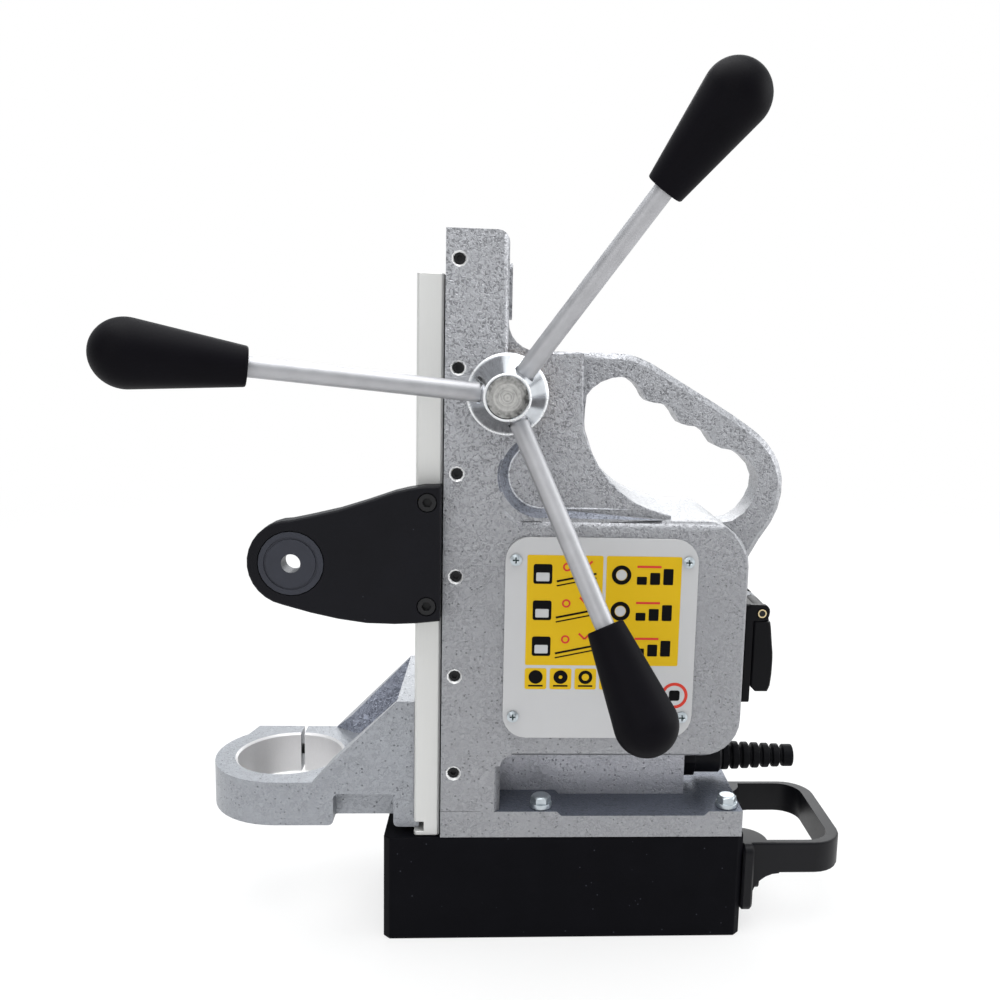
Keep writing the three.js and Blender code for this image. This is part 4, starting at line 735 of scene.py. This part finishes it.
def dress_casting():
    """The cast frame, with the round slope on both its sides."""
    screws = [middle(node) for node in numbered("gib_screw", 6)]

    def paint(face):
        point = face.calc_center_median()
        on_near = slanted(face) and point.y < -CASTING_HALF * MM
        if on_near and any(math.hypot(point.x - m.x, point.z - m.z) < COUNTERSINK for m in screws):
            return EDGE
        # The recess floor's upward faces take the painted shade
        if face.normal.z > LEANING and point.z < SHELF_TOP and point.x > SHELF_FRONT:
            return SHELF
        # The web's side faces take the painted light
        inner = abs(point.y) < WEB_SIDE and point.z < WEB_TOP and point.x > SHELF_FRONT
        if abs(face.normal.y) > SQUARE and inner:
            return WEB
        # The leaning faces round the bowl take the painted shade
        from_bowl = math.hypot(point.x - BOWL_X * MM, point.z - BOWL_Z * MM)
        return SLOPE if slanted(face) and from_bowl < SLOPE_REACH * MM else PLAIN

    def prepared(mesh):
        round_edges(mesh, RIM_ROUND, angle=60, segments=4, where=on_rim)
        for side in (-1, 1):
            mesh = carved(mesh, step_bowl(side, CARVING_ROOM, BOWL_DEPTH - CARVING_REST))
        return mesh

    dress("frame_casting", CASTING_FINISHES, 0.4 * MM, angle=50, paint=paint, smooth=40, first=prepared)
    for side, name in ((-1, "near"), (1, "far")):
        fillet = step_fillet(side)
        # The fillet's leaning faces take the painted shade
        for face in fillet.faces:
            face.material_index = int(slanted(face))
        finished(f"step_fillet_{name}", fillet, [casting, slope_shade_paint], "frame", smooth=30)
        # The crest line takes the painted highlight
        finished(f"step_crest_{name}", step_crest(side), [crest_highlight_paint], "frame", smooth=60)


# Motor bracket
RING_CENTRE = place(-131.3, 0, 62.6)
RING_BORE = 25.5 * MM
RING_TOP = 72.9 * MM
POCKET_REAR = -77 * MM
POCKET_HALF = 33 * MM


def dress_bracket():
    """The motor bracket, its bore machined and its pocket's sides in a bluer painted shade."""
    def paint(face):
        point = face.calc_center_median()
        offset = point - RING_CENTRE
        if math.hypot(offset.x, offset.y) < RING_BORE and abs(face.normal.z) < SQUARE:
            return 1
        inside = point.z > RING_TOP and abs(point.y) < POCKET_HALF and point.x < POCKET_REAR
        return 2 if inside and abs(face.normal.y) > LEANING else 0

    dress("motor_bracket", [bracket_paint, machined, pocket_shade_paint], 0.5 * MM, angle=40, paint=paint)


# Feed hub, rods and grips, in millimetres; a profile holds radius and distance along its axis
HUB_BACK = -40.3
LEVER_CROSSING = -55
HUB_PROFILE = [
    (0, 0), (16.8, 0), (17.3, 0.5), (17.3, 2.6), (16.9, 3.0), (16.5, 3.2), (9.6, 31.2), (9.4, 31.9),
    (9.1, 32.2), (8.8, 32.2), (8.6, 31.9), (8.5, 30.2), (0, 30.2),
]
HUB_STEPS = 128
NOSE_PROFILE = [(0, 30.3), (8.3, 30.3), (8.3, 30.5), (0, 30.6)]
NOSE_ROUND = 0.05
NOSE_EDGE = 31.3
FLANGE_EDGE = 3.15
SLOT_START = 11.1
SLOT_REACH = 12
SLOT_HALF = 4.3
SLOT_HEIGHT = 25
ROD_START = 6.6
ROD_LENGTH = 128.8
ROD_RADIUS = 4
ROD_ROUND = 0.45
ROD_STEPS = 48
GRIP_START = 101.4
GRIP_BASE = [(4.1, 6), (4.1, 0.3), (4.4, 0), (7.6, 0), (7.9, 2.2)]
GRIP_ROUND = 1.3
GRIP_END = 12.9
GRIP_LENGTH = 54
GRIP_TAPER_DEGREES = 7.8
GRIP_STEPS = 72


def slotted(cone, crossing, along):
    """Opens the cone over a lever rod, which then shows up to its inner end."""
    across = along.cross(NEAR).normalized()
    start, end = (crossing + along * distance * MM for distance in (SLOT_START, SLOT_START + SLOT_REACH))
    corners = product((start, end), (-1, 1), (0, SLOT_HEIGHT))
    return carved(cone, hull([point + across * side * SLOT_HALF * MM + NEAR * height * MM
                              for point, side, height in corners]))


def dress_feed():
    """The feed hub with its nose, the three levers, and the shaft behind them."""
    back = Vector((HUB_CENTRE.x, HUB_BACK * MM, HUB_CENTRE.z))
    crossing = Vector((HUB_CENTRE.x, LEVER_CROSSING * MM, HUB_CENTRE.z))
    ways = [(middle(node) - crossing).normalized() for node in numbered("lever_rod", 3)]
    cone = spun(HUB_PROFILE, back, NEAR, HUB_STEPS)
    for along in ways:
        cone = slotted(cone, crossing, along)
    for face in cone.faces:
        distance = (back.y - face.calc_center_median().y) / MM
        face.material_index = int(not FLANGE_EDGE < distance < NOSE_EDGE)
    finished("hub_cone", cone, [hub_metal, ring_metal], "feed", ["feed_hub"], smooth=30)
    nose = spun(rounded(NOSE_PROFILE, NOSE_ROUND), back, NEAR)
    finished("hub_nose_face", nose, [nose_metal], "feed")
    rod = rounded([(0, 0), (ROD_RADIUS, 0), (ROD_RADIUS, ROD_LENGTH), (0, ROD_LENGTH)], ROD_ROUND)
    bulb = arc(GRIP_LENGTH - GRIP_END, 0, GRIP_END, 90 + GRIP_TAPER_DEGREES, 0, 28)
    end = [(radius, distance) for distance, radius in bulb]
    grip = rounded(GRIP_BASE, GRIP_ROUND, 6)[:-1] + end
    for i, along in enumerate(ways, 1):
        bar, moulding = (crossing + along * distance * MM for distance in (ROD_START, GRIP_START))
        finished(f"lever_{i}_rod_bar", spun(rod, bar, along, ROD_STEPS), [rod_metal], "feed",
                 [f"lever_rod_{i}"])
        finished(f"lever_{i}_grip_moulding", spun(grip, moulding, along, GRIP_STEPS), [grip_plastic], "feed",
                 [f"lever_grip_{i}"], smooth=50)
    for node in ("pinion_shaft", "hub_key"):
        dress(node, [ground_steel], 0.15 * MM)
    dress("shaft_circlip", [black_screw], 0.1 * MM)


# Strain relief boot, in millimetres, its ribs drawn as broad rounded rings
BOOT_START = 72.2
BOOT_AXIS = 72
BOOT_BORE = 3.4
BOOT_COLLAR = 5.7
BOOT_ROOT = 6
BOOT_RIBS = 7
BOOT_PITCH = 35.6 / BOOT_RIBS
BOOT_RIB = 7
BOOT_TAPER = 1.6
BOOT_GROOVE = (1.8, 1.9)
BOOT_RIB_SHARE = 0.64
BOOT_END = 5.4
BOOT_ROUND = 0.7
BOOT_STEPS = 72


def dress_boot():
    """The strain relief boot, its ribs smaller towards its end."""
    outline = [(BOOT_BORE, 0), (BOOT_COLLAR, 0), (BOOT_COLLAR, BOOT_ROOT)]
    for i in range(BOOT_RIBS):
        start = BOOT_ROOT + i * BOOT_PITCH
        edge = start + BOOT_RIB_SHARE * BOOT_PITCH
        radius = BOOT_RIB - BOOT_TAPER * i / (BOOT_RIBS - 1)
        outline += [(radius, start), (radius, edge)]
        if i < BOOT_RIBS - 1:
            outline += [(radius - BOOT_GROOVE[0], edge), (radius - BOOT_GROOVE[1], start + BOOT_PITCH)]
    end = BOOT_ROOT + BOOT_RIBS * BOOT_PITCH
    outline[-1] = (BOOT_END, end)
    outline += [(BOOT_BORE, end), (BOOT_BORE, 0)]
    mesh = spun(rounded(outline, BOOT_ROUND), place(BOOT_START, 0, BOOT_AXIS), REAR, BOOT_STEPS)
    finished("ribbed_boot", mesh, [rubber], "frame", ["strain_relief_boot"], smooth=50)


# Socket: a thin brass ring round each end of the hinge pin, in millimetres
PIN_END = 27.3
PIN_RING = [(1.45, -0.1), (2, -0.1), (2, 0.16), (1.45, 0.16), (1.45, -0.1)]
PIN_RING_ROUND = 0.08
SMALL_STEPS = 48


def add_pin_rings():
    """The brass ring round each end of the lid's hinge pin."""
    pin = middle("lid_hinge_pin")
    for name, way in (("near", NEAR), ("far", FAR)):
        start = Vector((pin.x, 0, pin.z)) + way * PIN_END * MM
        ring = spun(rounded(PIN_RING, PIN_RING_ROUND), start, way, SMALL_STEPS)
        finished(f"pin_ring_{name}", ring, [brass_ring], "frame")


# Label on the side plate, in millimetres: plain areas, bars, discs and rings in layers over each other
PLATE_FACE = -41.8
PRINT = 0.06
PANEL_LEFTS = (-20.6, 13.9)
PANEL_WIDTH = 33.1
PANEL_HEIGHTS = (130.8, 180.2)
PANEL_ROUND = 0.8
SQUARES = 4
SQUARE_LEFT = -20.6
SQUARE_PITCH = 11
SQUARE_WIDTH = 9.6
SQUARE_HEIGHTS = (119.8, 129.4)
SQUARE_ROUND = 0.9
DOT_PLACE = 4.8
DOT_HEIGHT = 125.4
DOT_RADIUS = 3.1
DOT_HOLE_STEP = 0.8
LINE_PLACE = 1.6
LINE_HEIGHT = 121.4
LINE_LENGTH = 6.4
LINE_WIDTH = 0.7
RING_HEIGHT = 117.2
RINGS = ((29.6, 7.6), (46.2, 6))
RING_WIDTH = 1.4
MARK_HALF = 2.4
ROWS = 3
ROW_START = 139.4
ROW_PITCH = 16.2
STAIR = range(3)

# The marks of a row, with their heights from its middle
# Areas: left, low, right, high, rounding and layer
ROW_AREAS = [
    ("black", -17.8, -4.4, -9.6, 4.4, 1, 2), ("grey", -16.6, -3.2, -10.8, 0.6, 0.5, 3),
    *(("black", 27.4 + i * 5.8, -4.2, 31.8 + i * 5.8, -0.6 + i * 1.8, 0.5, 2) for i in STAIR),
]
# Bars: start, height there, length, width, angle and layer
ROW_BARS = [
    ("black", -7.6, -3.2, 17.6, 0.9, 12, 2), ("black", -7.6, -5.2, 17.6, 0.6, 12, 2),
    ("red", 5.2, 3.4, 3.6, 0.9, 45, 2), ("red", 5.2, 3.4, 3.6, 0.9, 135, 2),
    ("red", 27.4, 3.8, 10.6, 1, 0, 2),
]
# Discs: middle, height, radius, layer and inner radius
ROW_DISCS = [("red", -3.2, 3.2, 1.9, 2, 1.1), ("black", 20.6, 0, 4.3, 2, 2.5), ("grey", 20.6, 0, 2.3, 2, 0)]


def add_area(mesh, x0, z0, x1, z1, corner, layer):
    """A flat rounded rectangle on the plate."""
    thick = PRINT * layer
    size = Vector((x1 - x0, thick, z1 - z0)) * MM
    centre = place((x0 + x1) / 2, PLATE_FACE - thick / 2, (z0 + z1) / 2)
    made = bmesh.ops.create_cube(mesh, size=1)["verts"]
    bmesh.ops.scale(mesh, vec=size, verts=made)
    bmesh.ops.translate(mesh, vec=centre, verts=made)
    edges = {e for v in made for e in v.link_edges if abs((e.verts[0].co - e.verts[1].co).y) > 0}
    bmesh.ops.bevel(mesh, geom=list(edges), offset=corner * MM, segments=6, profile=0.5,
                    affect="EDGES", material=-1)


def add_disc(mesh, x, z, radius, layer, inner=0.0):
    """A flat disc or ring on the plate."""
    thick = PRINT * layer
    outline = [(inner, 0), (radius, 0), (radius, thick), (inner, thick)]
    if inner:
        outline.append((inner, 0))
    pour(spun(outline, place(x, PLATE_FACE, z), NEAR, SMALL_STEPS), mesh)


def add_bar(mesh, x, z, length, width, angle, layer):
    """A flat bar that starts at x, z and runs at an angle in degrees from +X towards +Z."""
    thick = PRINT * layer
    made = bmesh.ops.create_cube(mesh, size=1)["verts"]
    bmesh.ops.scale(mesh, vec=Vector((length, thick, width)) * MM, verts=made)
    bmesh.ops.translate(mesh, vec=place(length / 2, 0, 0), verts=made)
    turn = Matrix.Rotation(-math.radians(angle), 4, "Y")
    start = Matrix.Translation(place(x, PLATE_FACE - thick / 2, z))
    bmesh.ops.transform(mesh, matrix=start @ turn, verts=made)


def add_label():
    """Two tall panels of plain blocks, bars and dots, a row of squares and two rings."""
    inks = {"yellow": yellow_print, "black": black_print, "red": red_print, "grey": grey_print}
    sheets = {name: bmesh.new() for name in inks}
    for left in PANEL_LEFTS:
        add_area(sheets["yellow"], left, PANEL_HEIGHTS[0], left + PANEL_WIDTH, PANEL_HEIGHTS[1],
                 PANEL_ROUND, 1)
    for i in range(SQUARES):
        x = SQUARE_LEFT + i * SQUARE_PITCH
        add_area(sheets["yellow"], x, SQUARE_HEIGHTS[0], x + SQUARE_WIDTH, SQUARE_HEIGHTS[1], SQUARE_ROUND, 1)
        add_disc(sheets["black"], x + DOT_PLACE, DOT_HEIGHT, DOT_RADIUS, 2, DOT_HOLE_STEP * i)
        add_bar(sheets["black"], x + LINE_PLACE, LINE_HEIGHT, LINE_LENGTH, LINE_WIDTH, 0, 3)
    for row in range(ROWS):
        z = ROW_START + row * ROW_PITCH
        for name, left, low, right, high, corner, layer in ROW_AREAS:
            add_area(sheets[name], left, z + low, right, z + high, corner, layer)
        for name, x, height, length, width, angle, layer in ROW_BARS:
            add_bar(sheets[name], x, z + height, length, width, angle, layer)
        for name, x, height, radius, layer, inner in ROW_DISCS:
            add_disc(sheets[name], x, z + height, radius, layer, inner)
    for x, radius in RINGS:
        add_disc(sheets["red"], x, RING_HEIGHT, radius, 1, radius - RING_WIDTH)
        add_area(sheets["black"], x - MARK_HALF, RING_HEIGHT - MARK_HALF, x + MARK_HALF,
                 RING_HEIGHT + MARK_HALF, 1, 1)
    for name, mesh in sheets.items():
        finished(f"label_{name}_areas", mesh, [inks[name]], "frame", smooth=30)


# The rest of the pieces keep their own shape: each with its finish and the rounding of its edges
SURFACES = [
    ("magnet_body", magnet_paint, 0.7), ("magnet_coil", copper_wire, 0.3), ("magnet_potting", resin, 0.2),
    ("side_cover_plate", plate_paint, 0.25), ("control_panel", plate_paint, 0.25),
    ("magnet_switch_body", moulded, 0.3), ("magnet_switch_rocker", rocker_red, 0.4),
    ("rectifier_block", moulded, 0.5), ("terminal_block", moulded, 0.3), ("socket_gasket", rubber, 0.1),
    ("socket_body", lid_plastic, 0.5), ("socket_lid", lid_plastic, 0.7), ("lid_hinge_pin", black_screw, 0.1),
    ("lid_spring", spring_steel, 0), ("cable_gland", moulded, 0.4), ("rear_grip", grip_bar_plastic, 0.9),
    ("gib_strip", bronze, 0.2), ("pinion_bush_near", bronze, 0.3), ("pinion_bush_far", bronze, 0.3),
    ("rack", ground_steel, 0.1), ("clamp_screw", black_screw, 0.25),
    ("side_arm", arm_paint, 0.5), ("arm_bush", bush_steel, 0.3),
]
FASTENERS = [
    ("foot_bolt", 4, zinc, 0.2), ("rear_grip_screw", 2, black_screw, 0.2),
    ("gib_screw", 6, black_screw, 0.12), ("arm_screw", 2, black_screw, 0.2),
]
CROSS_REACH = 1.5 * MM
CROSS_DEPTH = (0.5 * MM, 1.4 * MM)


def cross_paint(node):
    """Finds the faces inside the cross of a screw, which take the painted shadow."""
    low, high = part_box(node)
    head = max(abs(low[1]), abs(high[1]))
    axis = middle(node)

    def paint(face):
        point = face.calc_center_median()
        deep = CROSS_DEPTH[0] < head - abs(point.y) < CROSS_DEPTH[1]
        return int(deep and math.hypot(point.x - axis.x, point.z - axis.z) < CROSS_REACH)

    return paint


def dress_the_rest():
    """The plates' cross-head screws, the slide plate with its rear face in painted shadow, and all other
    pieces.
    """
    for node in numbered("side_cover_screw", 4) + numbered("control_panel_screw", 4):
        dress(node, [zinc, cross_shadow], paint=cross_paint(node))
    # The slide plate's rear face takes the black painted shadow of the gap behind it
    dress("slide_plate", [slide_metal, slide_gap_shadow], 0.35 * MM, paint=lambda face: int(face.normal.x > SQUARE))
    for node, finish, width in SURFACES:
        dress(node, [finish], width * MM)
    for name, count, finish, width in FASTENERS:
        for node in numbered(name, count):
            dress(node, [finish], width * MM)


# Floor, world and lamps
FLOOR_REACH = 4
FLOOR_DROP = 0.2 * MM
FLOOR_FADE = (0.5, 1.6)
FLOOR_LIGHT = 0.72


def add_floor():
    """A pale floor that keeps a faint shadow near the stand and runs into the background."""
    floor = Finish("pale_floor")
    distance = floor.vector("LENGTH", floor.spot, output="Value")
    seen, mirrored = (
        floor.add("ShaderNodeLightPath", {}, {}, f"Is {kind} Ray") for kind in ("Camera", "Glossy"))
    glow = floor.add("ShaderNodeEmission", {}, {"Color": (1, 1, 1), "Strength": 1.0})
    share = (seen + mirrored) * (distance.between(*FLOOR_FADE) * (1 - FLOOR_LIGHT) + FLOOR_LIGHT)
    speckle = floor.noise(3 * MM, 2)
    floor.set(Base_Color=floor.mix(speckle, shade(236, 236, 236), shade(240, 240, 240)), Roughness=0.7)
    shader = Value(floor, floor.shader.outputs[0])
    mixed = floor.add("ShaderNodeMixShader", {}, {0: share, 1: shader, 2: glow})
    floor.tree.links.new(mixed.socket, floor.tree.nodes["Material Output"].inputs["Surface"])
    mesh = bmesh.new()
    bmesh.ops.create_circle(mesh, cap_ends=True, segments=96, radius=FLOOR_REACH)
    bmesh.ops.translate(mesh, vec=(0, 0, -FLOOR_DROP), verts=mesh.verts)
    ground = object_of("floor", mesh)
    ground.data.materials.append(floor.material)


BACKDROP_WAY = (0.42, 0.68, 0.6)
BACKDROP_FADE = (-0.55, 0.6)
ROOM_LIGHT = 0.3
BACKDROP_LIGHT = 0.72
BACKDROP_COLOUR = (0.95, 0.98, 1)


def add_world():
    """A white backdrop behind and above the stand, and a darker room on the camera's side."""
    world = bpy.data.worlds.new("studio")
    studio = Nodes(world)
    way = studio.add("ShaderNodeTexCoord", {}, {}, "Generated")
    backdrop = studio.vector("DOT_PRODUCT", way, BACKDROP_WAY, output="Value").between(*BACKDROP_FADE)
    camera, glossy, transmission = (
        studio.add("ShaderNodeLightPath", {}, {}, f"Is {kind} Ray")
        for kind in ("Camera", "Glossy", "Transmission"))
    shown = camera.sum("MAXIMUM", (glossy + transmission) * backdrop)
    light = backdrop * (BACKDROP_LIGHT - ROOM_LIGHT) + ROOM_LIGHT
    level = light + shown * (1 - light)
    tint = studio.add(
        "ShaderNodeMix", {"data_type": "RGBA"}, {0: camera, 6: BACKDROP_COLOUR, 7: (1, 1, 1)}, 2)
    background = studio.tree.nodes["Background"]
    studio.link(level, background.inputs["Strength"])
    studio.link(tint, background.inputs["Color"])
    bpy.context.scene.world = world


# Each lamp's place, its size in metres and its power in watts
LAMPS = [
    ("top_light", place(-150, -100, 1250), (1.3, 1.0), 16),
    ("front_light", place(-700, -1500, 700), (1.2, 1.2), 6.5),
    ("side_light", place(1400, 0, 600), (1.0, 1.0), 9),
    ("back_light", place(200, 1500, 900), (1.2, 1.0), 10),
]
LAMP_AIM = place(-20, 0, 170)


def add_lamps():
    """Large lamps that all aim at the stand's middle."""
    for name, spot, (width, height), power in LAMPS:
        light = bpy.data.lights.new(name, "AREA")
        light.shape = "RECTANGLE"
        light.size = width
        light.size_y = height
        light.energy = power
        lamp = linked(name, light)
        turn = (LAMP_AIM - spot).to_track_quat("-Z", "Y").to_matrix().to_4x4()
        lamp.matrix_world = Matrix.Translation(spot) @ turn


add_camera()
dress_casting()
dress_bracket()
dress_feed()
dress_boot()
add_pin_rings()
add_label()
dress_the_rest()
add_floor()
add_world()
add_lamps()
bpy.context.scene.view_settings.view_transform = "Standard"
